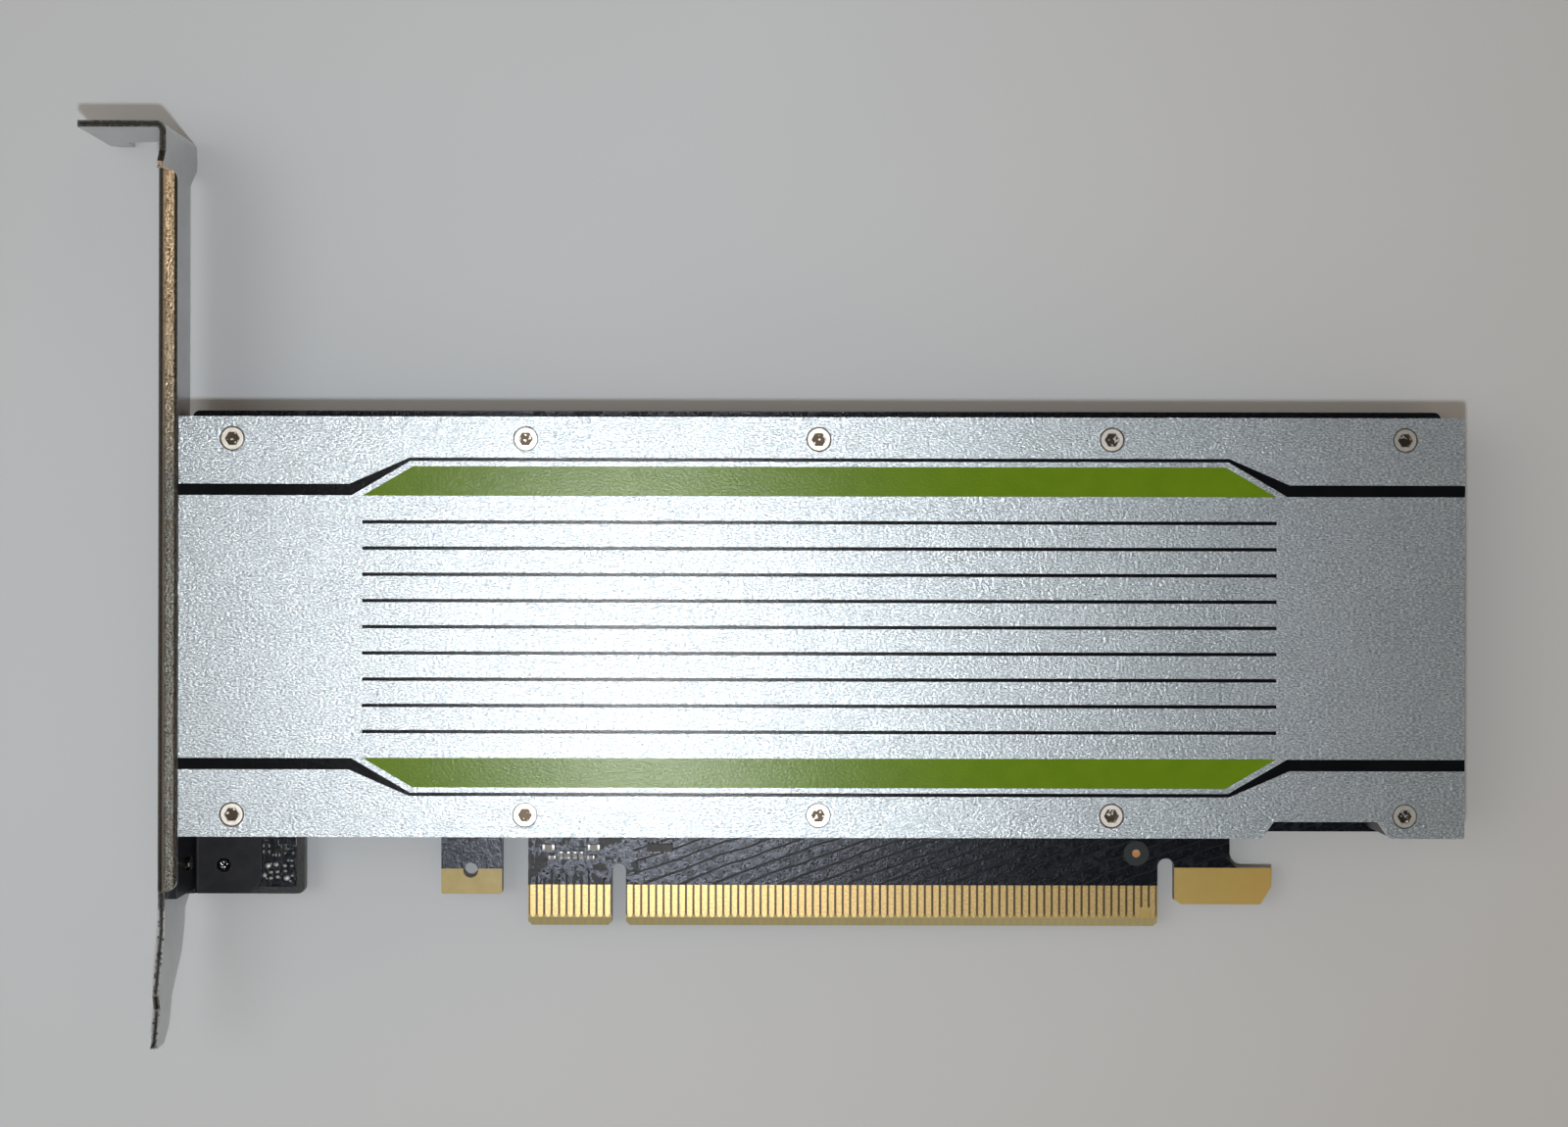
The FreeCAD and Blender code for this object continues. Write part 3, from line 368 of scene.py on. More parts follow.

# %% [markdown]
# ## The rear bracket
# Sheet steel with bright nickel.  The flats mirror the room softly.  The narrow
# front flange looks hammered from the folding tool, with a few lines along it.
# It turns from grey at its foot to bronze at its top: a warm tint, and a painted
# reflection that makes it lighter upwards.  Painted shade darkens its free edge.
# The sheared edges are dark, with bright chips where the nickel tore.
# Masks by height and by direction keep these finishes in one material.

# %% Bracket flange
FLANGE_FACE = 14.95          # mm, Z just under the flange's front face
ROLLED_EDGE = -56.30         # mm, X where painted shade darkens the flange's free edge
BRONZE_START, BRONZE_END = 60.0, 90.0  # mm, Y where the flange turns from grey to bronze, with painted reflection
steel, tree, body = shader("nickel-plated steel", (0.62, 0.60, 0.56), 0.3, 1.0)
x, y, z = axes(tree)
level = upright(tree)
hammer = use(tree, blasted, Length=0.22, Width=0.34).outputs["Height"]
streak = use(tree, blasted, Length=0.11, Width=2.6).outputs["Height"]
# warm tint plus a painted reflection that lightens the flange towards its top
bronze_and_sheen = tint(tree, span(tree, y, BRONZE_START, BRONZE_END), (0.200, 0.214, 0.198), (1.0, 0.74, 0.45))
spotty = tint(tree, span(tree, hammer, 0.36, 0.52, 0.80, 0.0), bronze_and_sheen, (0.14, 0.095, 0.05))
lined = tint(tree, span(tree, streak, 0.40, 0.50, 0.66, 0.0), spotty, (0.11, 0.08, 0.05))
# painted shade along the flange's free, rounded edge
shaded_edge = tint(tree, span(tree, x, ROLLED_EDGE, ROLLED_EDGE + 0.12), lined, (0.045, 0.038, 0.030))
front = both(tree, span(tree, z, FLANGE_FACE - 0.25, FLANGE_FACE), span(tree, level, 0.90, 0.99))
print("flange face at", FLANGE_FACE, "mm")

# %% Bracket sides and sheared edges
TONGUE_TOP = 4.2             # mm, Y where the bracket's sheared tongue begins
WORN_END = 20.0              # mm, Y where the edges have their lighter tone
tone = use(tree, cloudy, First=(0.52, 0.52, 0.52, 1), Second=(0.58, 0.58, 0.58, 1), Size=5.0)
sheared = both(tree, span(tree, level, 0.08, 0.25), inverse(tree, front))
specks = noise(tree, millimetres(tree), 4.2, 2.0)
chipped = use(tree, edge_rub_and_shade, Width=0.60, Patch=0.45).outputs["Mask"]
torn = both(tree, chipped, span(tree, y, TONGUE_TOP - 0.4, TONGUE_TOP, 1.7, 0.35))
sheet = tint(tree, span(tree, y, TONGUE_TOP, WORN_END), (0.062, 0.058, 0.054), (0.150, 0.132, 0.108))
dark = tint(tree, span(tree, specks, 0.35, 0.60, 0.5, 1.0), (0.020, 0.019, 0.018), sheet)
sides = tint(tree, sheared, tone.outputs["Color"], tint(tree, torn, dark, (0.9, 0.88, 0.84)))
tree.links.new(tint(tree, front, sides, shaded_edge), body.inputs["Base Color"])
rough_range(tree, body, hammer, 0.24, 0.38)
relief(tree, body, both(tree, hammer, both(tree, front, both(tree, sheared, 0.12), "MAXIMUM")), 0.11)
dress(steel, "rear_bracket")

# %% [markdown]
# ## Angle, cross and screws
# The folded angle, the cross behind the chip and their screws are steel with
# black zinc, rubbed grey along the edges.  The cover's screws are bright
# nickel round a deep socket, painted dark brown as shade with a few painted
# glints, and painted shade rings each head.  The depth below the head's face
# parts the two, so one material serves the whole screw.

# %% Black plated steel
def plated(name, first, second, gloss, *names):
    """Black zinc over steel, with the zinc rubbed grey along the edges."""
    made, tree, body = shader(name, first, 0.42, 0.2)
    body.inputs["Specular IOR Level"].default_value = gloss
    tone = use(tree, cloudy, First=(*first, 1), Second=(*second, 1), Size=2.0)
    edges = both(tree, use(tree, edge_rub_and_shade, Width=0.10, Patch=0.6).outputs["Mask"], 0.5)
    tree.links.new(tint(tree, edges, tone.outputs["Color"], (0.20, 0.19, 0.19)), body.inputs["Base Color"])
    grained(tree, body, 0.25, 0.012)
    dress(made, *names)


plated("black plated steel", (0.005, 0.0055, 0.008), (0.011, 0.011, 0.014), 0.3,
       "mounting_angle", "retention_cross")
plated("black screws", (0.012, 0.012, 0.013), (0.026, 0.025, 0.025), 0.5,
       "cross_screws", "heatsink_screws")

# %% Screw tips in the angle
SCREW_X, SCREW_LOW_Y, SCREW_HIGH_Y = -52.65, 8.15, 56.00  # mm, the angle's two screws
HEAD_END = -0.9              # mm, Z where the heads behind the board end
# thread ends: painted shade as a black rim, where the hole is not modelled, round a broken core with painted
# glints
thread, tree, body = shader("thread end", (0.01, 0.01, 0.01), 0.22, 1.0)
x, y, z = axes(tree)
flat = add(tree, "ShaderNodeCombineXYZ", {0: x, 1: y}).outputs[0]
ways = [distance(tree, flat, (SCREW_X, at, 0)) for at in (SCREW_LOW_Y, SCREW_HIGH_Y)]
glint_core = span(tree, both(tree, *ways, "MINIMUM"), 0.40, 0.58, 1.0, 0.0)
tip_glint = both(tree, glint_core, span(tree, noise(tree, millimetres(tree), 3.2, 2.0), 0.54, 0.60))
tip_shade_and_glint = tint(tree, tip_glint, (0.006, 0.006, 0.007), (0.75, 0.72, 0.68))
head = span(tree, z, HEAD_END, HEAD_END + 0.2, 1.0, 0.0)
tree.links.new(tint(tree, head, tip_shade_and_glint, (0.020, 0.020, 0.021)), body.inputs["Base Color"])
grained(tree, body, 0.35, 0.08)
dress(thread, "angle_screws")

# %% Nickel screws
SCREW_FACE = 14.62           # mm, Z just under the heads' flat faces
nickel, tree, body = shader("nickel screws", (0.72, 0.69, 0.61), 0.36, 1.0)
z = axes(tree)[2]
tone = use(tree, cloudy, First=(0.90, 0.83, 0.72, 1), Second=(1.0, 0.96, 0.87, 1), Size=0.5)
# painted shade in the socket, darker deeper down, with a few painted glints
deep = span(tree, z, SCREW_FACE - 0.26, SCREW_FACE - 0.08, 1.0, 0.0)
wall = span(tree, z, SCREW_FACE - 0.74, SCREW_FACE - 0.70)
socket_shade = tint(tree, wall, (0.16, 0.12, 0.085), (0.075, 0.055, 0.038))
socket_glints = span(tree, noise(tree, millimetres(tree), 2.1, 1.0), 0.59, 0.64, 0.0, 0.7)
socket_shade = tint(tree, socket_glints, socket_shade, (1.0, 0.97, 0.90))
# painted shade: a dark ring round each head's rim
rim = both(tree, use(tree, edge_rub_and_shade, Width=0.16, Patch=20.0).outputs["Mask"], 1.6)
ring = tint(tree, rim, tone.outputs["Color"], (0.20, 0.15, 0.10))
tree.links.new(tint(tree, deep, ring, socket_shade), body.inputs["Base Color"])
grained(tree, body, 0.12, 0.004)
dress(nickel, "cover_screws")

# %% Plain nickel
THREAD_START, THREAD_END = -57.7, -50.0  # mm, X between which the bracket's screws are painted dark as shade
plain_nickel, tree, body = shader("plain nickel", (0.72, 0.69, 0.61), 0.32, 1.0)
x = axes(tree)[0]
tone = use(tree, cloudy, First=(0.66, 0.63, 0.56, 1), Second=(0.78, 0.75, 0.68, 1), Size=0.6)
# painted shade on the screws' ends in the dark recess, with bright specks left as painted glints
shade_patches = span(tree, noise(tree, millimetres(tree), 2.2, 2.0), 0.52, 0.60, 1.0, 0.0)
shaded_ends = band(tree, x, (THREAD_START - 0.2, THREAD_START), (THREAD_END, THREAD_END + 1.0))
painted_shade = both(tree, shade_patches, shaded_ends)
tree.links.new(tint(tree, painted_shade, tone.outputs["Color"], (0.012, 0.012, 0.014)), body.inputs["Base Color"])
grained(tree, body, 0.12, 0.004)
dress(plain_nickel, "bracket_screws", "clock_crystal")

# %% [markdown]
# ## The board
# The board is glass cloth in resin.  Where it is bare it is a dull straw
# colour, darker on its cut edges, and pale below each contact, where a stub of
# its plating line ends.  Towards the hook end a painted fall-off of the sheen's
# glare turns the straw to amber, and painted shade darkens the gaps between the
# contacts.

# %% Bare laminate
CONTACT_FEET, CONTACT_TOPS = 1.2, 5.5    # mm, Y of the contacts' lower and upper ends
ROW_START, ROW_END = -12.0, 72.0         # mm, X where the row of contacts starts and ends
HALF_PITCH = 0.5                         # mm, from a contact's middle to the gap beside it
SHORT_LEFT, SHORT_RIGHT, SHORT_FEET = 69.9, 71.1, 2.5  # mm, the bare place below the short contact
AMBER_START, AMBER_END = 60.0, 95.0      # mm, X where the straw turns amber, a painted fall-off of glare
laminate, tree, body = shader("bare laminate", (0.30, 0.24, 0.09), 0.34)
body.inputs["Specular IOR Level"].default_value = 0.5
x, y, _ = axes(tree)
tone = use(tree, cloudy, First=(0.325, 0.235, 0.068, 1), Second=(0.365, 0.268, 0.084, 1), Size=1.6)
# towards the hook end the straw turns amber: a painted fall-off of the sheen's glare
straw_and_glare_falloff = tint(tree, span(tree, x, AMBER_START, AMBER_END), tone.outputs["Color"], (0.350, 0.212, 0.046))
off_middle = both(tree, both(tree, x, HALF_PITCH, "ADD"), HALF_PITCH, "PINGPONG")
below = span(tree, y, CONTACT_FEET - 0.1, CONTACT_FEET, 1.0, 0.0)
stubs = both(tree, span(tree, off_middle, 0.08, 0.22, 0.80, 0.35), below)
traced = tint(tree, stubs, straw_and_glare_falloff, (0.235, 0.218, 0.135))
print("contacts from", ROW_START, "to", ROW_END, "mm")

# %% Painted shade in the gaps, and cut edges
beside = band(tree, y, (CONTACT_FEET, CONTACT_FEET + 0.4), (CONTACT_TOPS, CONTACT_TOPS + 0.1))
along = band(tree, x, (ROW_START - 0.1, ROW_START), (ROW_END, ROW_END + 0.1))
short = both(
    tree, band(tree, x, (SHORT_LEFT - 0.1, SHORT_LEFT), (SHORT_RIGHT, SHORT_RIGHT + 0.1)),
    span(tree, y, SHORT_FEET, SHORT_FEET + 0.1, 1.0, 0.0),
)
gap_shade = both(tree, both(tree, beside, along), inverse(tree, short))
# painted shade in the gaps between the contacts
traced = tint(tree, gap_shade, traced, (0.060, 0.036, 0.010))
cut = span(tree, upright(tree), 0.5, 0.9, 1.0, 0.0)
tree.links.new(tint(tree, cut, traced, (0.040, 0.030, 0.016)), body.inputs["Base Color"])
grained(tree, body, 0.35, 0.010)
dress(laminate, "circuit_board")

# %% [markdown]
# ## Copper under the mask
# The black mask lies over copper, which shows through as slightly lighter
# fields with darker gaps between.  Signal pairs leave the contacts, bend and run
# off to the upper right, as dark channels through the copper pour.  A curved
# coordinate, X less a function of Y, is the same all along one such line, so a
# triangle wave of it draws the whole fan.  Elsewhere the pour is broken up by
# many small islands, for which a cell pattern measured the Manhattan way gives
# edges at 45 and 90 degrees.

# %% Fan of lines
BEND_START = 5.2             # mm, Y where the lines begin to bend
FAN_LEFT, FAN_TOP = 1.8, 14.2  # mm, X where the fan starts and Y where it ends
copper_lines, give, take, place = group(
    "copper lines",
    [("Fan pitch", FLOAT, 2.25), ("Cell", FLOAT, 1.5)],
    [("Copper", FLOAT), ("Height", FLOAT)],
)
t = copper_lines
parts = add(t, "ShaderNodeSeparateXYZ", {0: place})
x, y = parts.outputs[0], parts.outputs[1]
sway = both(t, noise(t, place, 0.16, 1.0), 2.2)
rise = both(t, both(t, y, BEND_START, "SUBTRACT"), 0.01, "MAXIMUM")
bend = both(t, both(t, both(t, rise, rise), 2.9), both(t, rise, 0.8, "ADD"), "DIVIDE")
across = both(t, both(t, x, bend, "SUBTRACT"), sway, "ADD")
wave = both(t, across, give["Fan pitch"], "PINGPONG")
fan = both(t, span(t, x, FAN_LEFT, FAN_LEFT + 0.8), span(t, y, FAN_TOP - 0.6, FAN_TOP, 1.0, 0.0))
channel = both(t, span(t, wave, 0.26, 0.38, 1.0, 0.0), fan)
print("group", t.name)

# %% Islands and dots
PLAIN_LEFT, PLAIN_RIGHT = -25.0, -13.1  # mm, X between which the pour is whole, on the small tab
finer = both(t, 1.0, give["Cell"], "DIVIDE")
cells = add(
    t, "ShaderNodeTexVoronoi", {"Vector": place, "Scale": finer}, {"Randomness": 0.9},
    distance="MANHATTAN", feature="F1",
)
lone = add(t, "ShaderNodeSeparateColor", {0: cells.outputs["Color"]}).outputs[0]
island = span(t, lone, 0.20, 0.23, 1.0, 0.0)
dot = add(
    t, "ShaderNodeTexVoronoi", {"Vector": place, "Scale": both(t, finer, 1.9)}, {"Randomness": 1.0},
    feature="F1",
)
hole = span(t, dot.outputs["Distance"], 0.16, 0.24, 1.0, 0.0)
broken = inverse(t, band(t, x, (PLAIN_LEFT - 0.1, PLAIN_LEFT), (PLAIN_RIGHT, PLAIN_RIGHT + 0.1)))
islands = both(t, island, both(t, span(t, fan, 0.0, 1.0, 1.0, 0.25), broken))
dots = both(t, both(t, hole, 0.7), broken)
print("whole pour from", PLAIN_LEFT, "to", PLAIN_RIGHT, "mm")

# %% Risers and the whole pour
RISER_TOP = 7.6              # mm, Y up to which lines rise straight from the left contacts
RISERS_LEFT, RISERS_RIGHT = -12.2, 1.4  # mm, X between which they stand
line = span(t, both(t, x, HALF_PITCH, "PINGPONG"), 0.09, 0.17, 1.0, 0.0)
uneven = span(t, both(t, y, both(t, lone, 2.0), "ADD"), RISER_TOP, RISER_TOP + 0.3, 1.0, 0.0)
block = band(t, x, (RISERS_LEFT - 0.2, RISERS_LEFT), (RISERS_RIGHT, RISERS_RIGHT + 0.2))
risers = both(t, both(t, line, uneven), block)
gaps = both(t, both(t, islands, dots, "MAXIMUM"), both(t, channel, risers, "MAXIMUM"), "MAXIMUM")
pour = inverse(t, gaps)
crinkle = both(t, noise(t, place, 3.2, 3.0, Roughness=0.6), 0.7)
t.links.new(pour, take["Copper"])
t.links.new(both(t, pour, crinkle, "ADD"), take["Height"])
print("risers up to", RISER_TOP, "mm")

# %% [markdown]
# ## The black mask
# The mask is a thin black lacquer.  The copper below shines through it as a
# dark slate metal, so where copper lies drives colour, metal and gloss.  None
# lies in the ring round the copper mark, nor in the plain rim of the foot.

# %% Black mask
MARK = (69.30, 9.77, 0.82)   # mm, centre of the round copper mark
RING_RADIUS = 1.66           # mm, of the ring without copper round it
RIM_X, RIM_Y = -43.20, 5.05  # mm, where the foot's plain rim begins
FOOT_END = -42.0             # mm, X just past the foot
black_mask, tree, body = shader("black solder mask", (0.008, 0.008, 0.011), 0.30)
body.inputs["Specular IOR Level"].default_value = 0.35
x, y, _ = axes(tree)
lines = use(tree, copper_lines, Cell=0.85)
clear = span(tree, distance(tree, millimetres(tree), MARK), RING_RADIUS, RING_RADIUS + 0.06, 1.0, 0.0)
right_rim = span(tree, x, RIM_X, RIM_X + 0.1)
lower_rim = span(tree, y, RIM_Y, RIM_Y + 0.1, 1.0, 0.0)
foot = span(tree, x, FOOT_END, FOOT_END + 0.1, 1.0, 0.0)
rim = both(tree, both(tree, right_rim, lower_rim, "MAXIMUM"), foot)
shown = both(tree, lines.outputs["Copper"], inverse(tree, both(tree, clear, rim, "MAXIMUM")))
tone = use(tree, cloudy, First=(0.027, 0.028, 0.032, 1), Second=(0.050, 0.053, 0.060, 1), Size=0.7)
lit = tint(tree, shown, (0.0015, 0.0015, 0.002), tone.outputs["Color"])
lit = tint(tree, rim, lit, (0.022, 0.021, 0.020))
tree.links.new(tint(tree, clear, lit, (0.020, 0.024, 0.022)), body.inputs["Base Color"])
tree.links.new(shown, body.inputs["Metallic"])
rough_range(tree, body, shown, 0.34, 0.20)
relief(tree, body, both(tree, lines.outputs["Height"], inverse(tree, clear)), 0.05)
dress(black_mask, "solder_mask_front", "solder_mask_back")

# %% [markdown]
# ## Gold, copper and aluminium
# The contacts are nickel with a flash of hard gold, which is satin and slightly
# uneven.  The round mark and the plate on the chip are bare copper.  The
# heatsink is milled aluminium coloured near black, and its fins are rolled
# sheet, so both carry long fine lines, made by the blasted grain drawn far out.

# %% Gold contacts
gold, tree, body = shader("hard gold", (0.86, 0.62, 0.27), 0.31, 0.65)
two_tone(tree, body, (0.50, 0.34, 0.13), (0.69, 0.49, 0.215), 0.28)
grained(tree, body, 0.2, 0.01)
dress(gold, "edge_contacts_front", "edge_contacts_back")

# %% Copper
copper, tree, body = shader("bare copper", (0.75, 0.36, 0.16), 0.35, 1.0)
two_tone(tree, body, (0.72, 0.34, 0.15), (0.82, 0.43, 0.22), 0.7)
dress(copper, "alignment_mark", "heat_spreader")

# %% Heatsink aluminium
machined, tree, body = shader("near-black aluminium", (0.006, 0.006, 0.008), 0.45, 0.3)
two_tone(tree, body, (0.004, 0.004, 0.006), (0.009, 0.009, 0.012), 3.0)
relief(tree, body, use(tree, blasted, Length=2.5, Width=0.15).outputs["Height"], 0.008)
dress(machined, "heatsink_body")

# %% Fin aluminium
fin_sheet, tree, body = shader("rolled aluminium", (0.66, 0.67, 0.68), 0.32, 1.0)
two_tone(tree, body, (0.62, 0.63, 0.64), (0.72, 0.73, 0.74), 5.0)
relief(tree, body, use(tree, blasted, Length=4.0, Width=0.2).outputs["Height"], 0.005)
dress(fin_sheet, "heatsink_fins")

# %% [markdown]
# ## Chips, pads and small parts
# Moulded, pressed and fired parts are dull and differ only in tone, gloss and
# grain, so one function makes them all from a line of values each.

# %% Chips and pads
def dull(name, first, second, roughness, size, depth, *names):
    """A dull moulded or pressed material with a fine grain, for small parts."""
    made, tree, body = shader(name, first, roughness)
    mask = two_tone(tree, body, first, second, size)
    rough_range(tree, body, mask, roughness - 0.06, roughness + 0.06)
    grained(tree, body, 0.15, depth)
    dress(made, *names)


dull("moulded package", (0.022, 0.022, 0.023), (0.035, 0.034, 0.034), 0.5, 1.5, 0.010,
     "memory_chips", "flash_memory", "management_chip", "port_controller", "power_stages")
dull("polymer capacitor", (0.030, 0.029, 0.028), (0.050, 0.048, 0.046), 0.45, 1.0, 0.008,
     "input_capacitors", "back_polymer_capacitors")
dull("pressed iron", (0.085, 0.085, 0.090), (0.130, 0.130, 0.135), 0.55, 0.6, 0.03, "power_inductors")
dull("fired ceramic", (0.15, 0.135, 0.11), (0.21, 0.19, 0.16), 0.4, 0.6, 0.006,
     "front_capacitors", "back_capacitors")
dull("thermal pad", (0.20, 0.23, 0.28), (0.26, 0.29, 0.34), 0.8, 1.0, 0.02,
     "memory_pads", "inductor_pads", "stage_pads")
dull("thermal paste", (0.42, 0.42, 0.43), (0.50, 0.50, 0.50), 0.5, 0.8, 0.02, "thermal_paste")
dull("package substrate", (0.02, 0.07, 0.035), (0.03, 0.095, 0.05), 0.35, 1.2, 0.008, "chip_substrate")
dull("silicon", (0.10, 0.105, 0.12), (0.13, 0.135, 0.15), 0.15, 5.0, 0.001, "chip_die")
dull("polyester film", (0.012, 0.012, 0.013), (0.022, 0.022, 0.024), 0.5, 4.0, 0.02, "insulator_sheet")

# %% [markdown]
# ## Ends of the small capacitors
# A chip capacitor is a ceramic block whose two ends are dipped in tin and
# soldered down, so each end is a bright cap with a small foot of solder that
# runs out onto the board.  One end is shaped from a cube, then copied, turned
# and stretched to every block.

# %% Helpers for shaping
def take_up(piece):
    """Makes one piece the active one, with none of its corners selected."""
    deselect()
    bpy.context.view_layer.objects.active = piece
    piece.select_set(True)
    bpy.ops.object.mode_set(mode="EDIT")
    bpy.ops.mesh.select_mode(type="VERT")
    bpy.ops.mesh.select_all(action="DESELECT")
    bpy.ops.object.mode_set(mode="OBJECT")


def small_cube():
    """A cube of 1 mm at the origin, taken up for shaping."""
    deselect()
    bpy.ops.mesh.primitive_cube_add(size=1 * MM, location=(0, 0, 0))
    piece = bpy.context.object
    take_up(piece)
    return piece


def pick(piece, test):
    """Selects the corners of a piece that pass a test and opens it for editing."""
    for corner in piece.data.vertices:
        corner.select = test(corner.co)
    bpy.ops.object.mode_set(mode="EDIT")


# %% Helper for copies
SMOOTH_ANGLE = 40            # degrees, below which an edge is shaded smooth


def copies(model, name, places):
    """One mesh from copies of a model; each place is centre, size and turn in degrees, in mm."""
    made = []
    for centre, size, turn in places:
        piece = model.copy()
        piece.data = model.data.copy()
        bpy.context.scene.collection.objects.link(piece)
        piece.location = [v * MM for v in centre]
        piece.scale = size
        piece.rotation_euler = (0, 0, math.radians(turn))
        made.append(piece)
    deselect()
    for piece in made:
        piece.select_set(True)
    bpy.context.view_layer.objects.active = made[0]
    bpy.ops.object.transform_apply(location=True, rotation=True, scale=True)
    bpy.ops.object.join()
    whole = bpy.context.object
    whole.name = name
    bpy.ops.object.shade_smooth_by_angle(angle=math.radians(SMOOTH_ANGLE))
    deselect()
    model.select_set(True)
    bpy.ops.object.delete()
    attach(whole, "root")
    print(name, len(places), "copies,", len(whole.data.polygons), "faces")
    return whole


# %% One soldered end
SOLDER_RUN = 0.55            # how far the solder runs out, as a share of the end's length
END_ROUNDING = 0.09          # the same, of its rounded edges
end = small_cube()
pick(end, lambda at: at.x > 0 and at.z < 0)
bpy.ops.transform.translate(value=(SOLDER_RUN * MM, 0, 0))
bpy.ops.mesh.select_all(action="SELECT")
bpy.ops.mesh.bevel(offset=END_ROUNDING * MM, segments=2, affect="EDGES")
bpy.ops.object.mode_set(mode="OBJECT")
print("one end:", len(end.data.polygons), "faces")

# %% All soldered ends
BOARD_FACE = 0.82            # mm, the front of the board's mask
END_HEIGHT = 0.59            # mm, a little over the blocks
END_SHARE = 0.24             # the share of a block's length that one end covers
END_PROUD = 0.015            # mm, how far an end stands out past its block
END_EXTRA = 0.04             # mm, how much wider than its block it is
# centre X and Y, length and width of each block, and its turn
blocks = (
    (-3.34, 10.50, 1.6, 0.8, 0), (-9.40, 10.50, 1.6, 0.8, 0), (-3.72, 9.17, 1.0, 0.5, 0),
    (-8.90, 9.17, 1.0, 0.5, 0), (-4.95, 9.47, 1.0, 0.5, 90), (-5.83, 9.47, 1.0, 0.5, 90),
    (-6.70, 9.47, 1.0, 0.5, 90), (-7.70, 9.47, 1.0, 0.5, 90),
)
places = []
for x, y, length, width, turn in blocks:
    cap = END_SHARE * length
    reach = length / 2 - cap / 2 + END_PROUD
    for way in (turn, turn + 180):
        along = math.radians(way)
        centre = (x + reach * math.cos(along), y + reach * math.sin(along), BOARD_FACE + END_HEIGHT / 2)
        places.append((centre, (cap, width + END_EXTRA, END_HEIGHT), way))
ends = copies(end, "capacitor_ends", places)

# %% [markdown]
# ## Tin
# Fresh solder is a bright, slightly uneven metal.  Pins that were tinned long
# before are duller and browner, so there are two tins of one kind.

# %% Tin
def tinned(name, color, roughness, first, second, size):
    """Solder or tin plate, with patches of this size in mm."""
    made, tree, body = shader(name, color, roughness, 0.7)
    two_tone(tree, body, first, second, size)
    grained(tree, body, 0.16, 0.012)
    return made


tin = tinned("solder tin", (0.80, 0.79, 0.76), 0.30, (0.60, 0.59, 0.56), (0.88, 0.87, 0.84), 0.25)
aged = tinned("aged tin", (0.22, 0.20, 0.17), 0.42, (0.10, 0.09, 0.08), (0.30, 0.27, 0.23), 0.4)
coat(ends, tin)

# %% [markdown]
# ## Pins of the small controller
# The controller beside the key notch has short flat pins that step down to the
# board.  A pin is a cube with its outer end drawn out and pressed down.

# %% One pin
SLOPE_RUN, SLOPE_DROP = 0.35, 0.45  # how far a pin's slope goes out and down, as shares of its size
FOOT_RUN = 0.75                     # the same, of the flat foot beyond it
pin = small_cube()
pick(pin, lambda at: at.x > 0)
bpy.ops.mesh.extrude_region_move(TRANSFORM_OT_translate={"value": (SLOPE_RUN * MM, 0, -SLOPE_DROP * MM)})
bpy.ops.mesh.extrude_region_move(TRANSFORM_OT_translate={"value": (FOOT_RUN * MM, 0, 0)})
bpy.ops.mesh.select_all(action="SELECT")
bpy.ops.mesh.normals_make_consistent(inside=False)
bpy.ops.object.mode_set(mode="OBJECT")
print("one pin:", len(pin.data.polygons), "faces")

# %% All pins
PINS_A_SIDE = 5
FIRST_PIN, PIN_STEP = 0.45, 0.63  # mm, from the chip's left side to a pin, and on to the next
PIN_LIFT = 0.22                   # mm, a pin's middle over the board
PIN_SIZE = (0.16, 0.20, 0.30)     # mm, depth, width and height of the cube that it starts from
chip_low, chip_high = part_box("port_controller")
places = []
for step in range(PINS_A_SIDE):
    x = chip_low.x / MM + FIRST_PIN + step * PIN_STEP
    places.append(((x, chip_high.y / MM, BOARD_FACE + PIN_LIFT), PIN_SIZE, 90))
    places.append(((x, chip_low.y / MM, BOARD_FACE + PIN_LIFT), PIN_SIZE, 270))
pins = copies(pin, "controller_pins", places)
coat(pins, aged)

# %% [markdown]
# ## Solder joints on the foot
# The foot beside the black angle carries a patch of hand-soldered joints: low
# domes of tin, some round, some drawn out.  One dome is the upper part of a
# sphere, cut off flat below, and each joint is a copy with its own size.

# %% One dome
DOME_CUT = -0.08             # mm, Z where the sphere is cut off
DOME_FLARE = 1.12            # how much wider its foot then becomes
deselect()
bpy.ops.mesh.primitive_uv_sphere_add(segments=12, ring_count=8, radius=0.5 * MM, location=(0, 0, 0))
dome = bpy.context.object
take_up(dome)
pick(dome, lambda at: True)
bpy.ops.mesh.bisect(plane_co=(0, 0, DOME_CUT * MM), plane_no=(0, 0, 1), use_fill=True, clear_inner=True)
bpy.ops.object.mode_set(mode="OBJECT")
pick(dome, lambda at: at.z < (DOME_CUT + 0.01) * MM)
bpy.ops.transform.resize(value=(DOME_FLARE, DOME_FLARE, 1.0))
bpy.ops.object.mode_set(mode="OBJECT")
print("one dome:", len(dome.data.polygons), "faces")

# %% All joints
DOME_LIFT, DOME_SCALE = 0.02, 0.46  # mm over the board, and how flat a dome is pressed
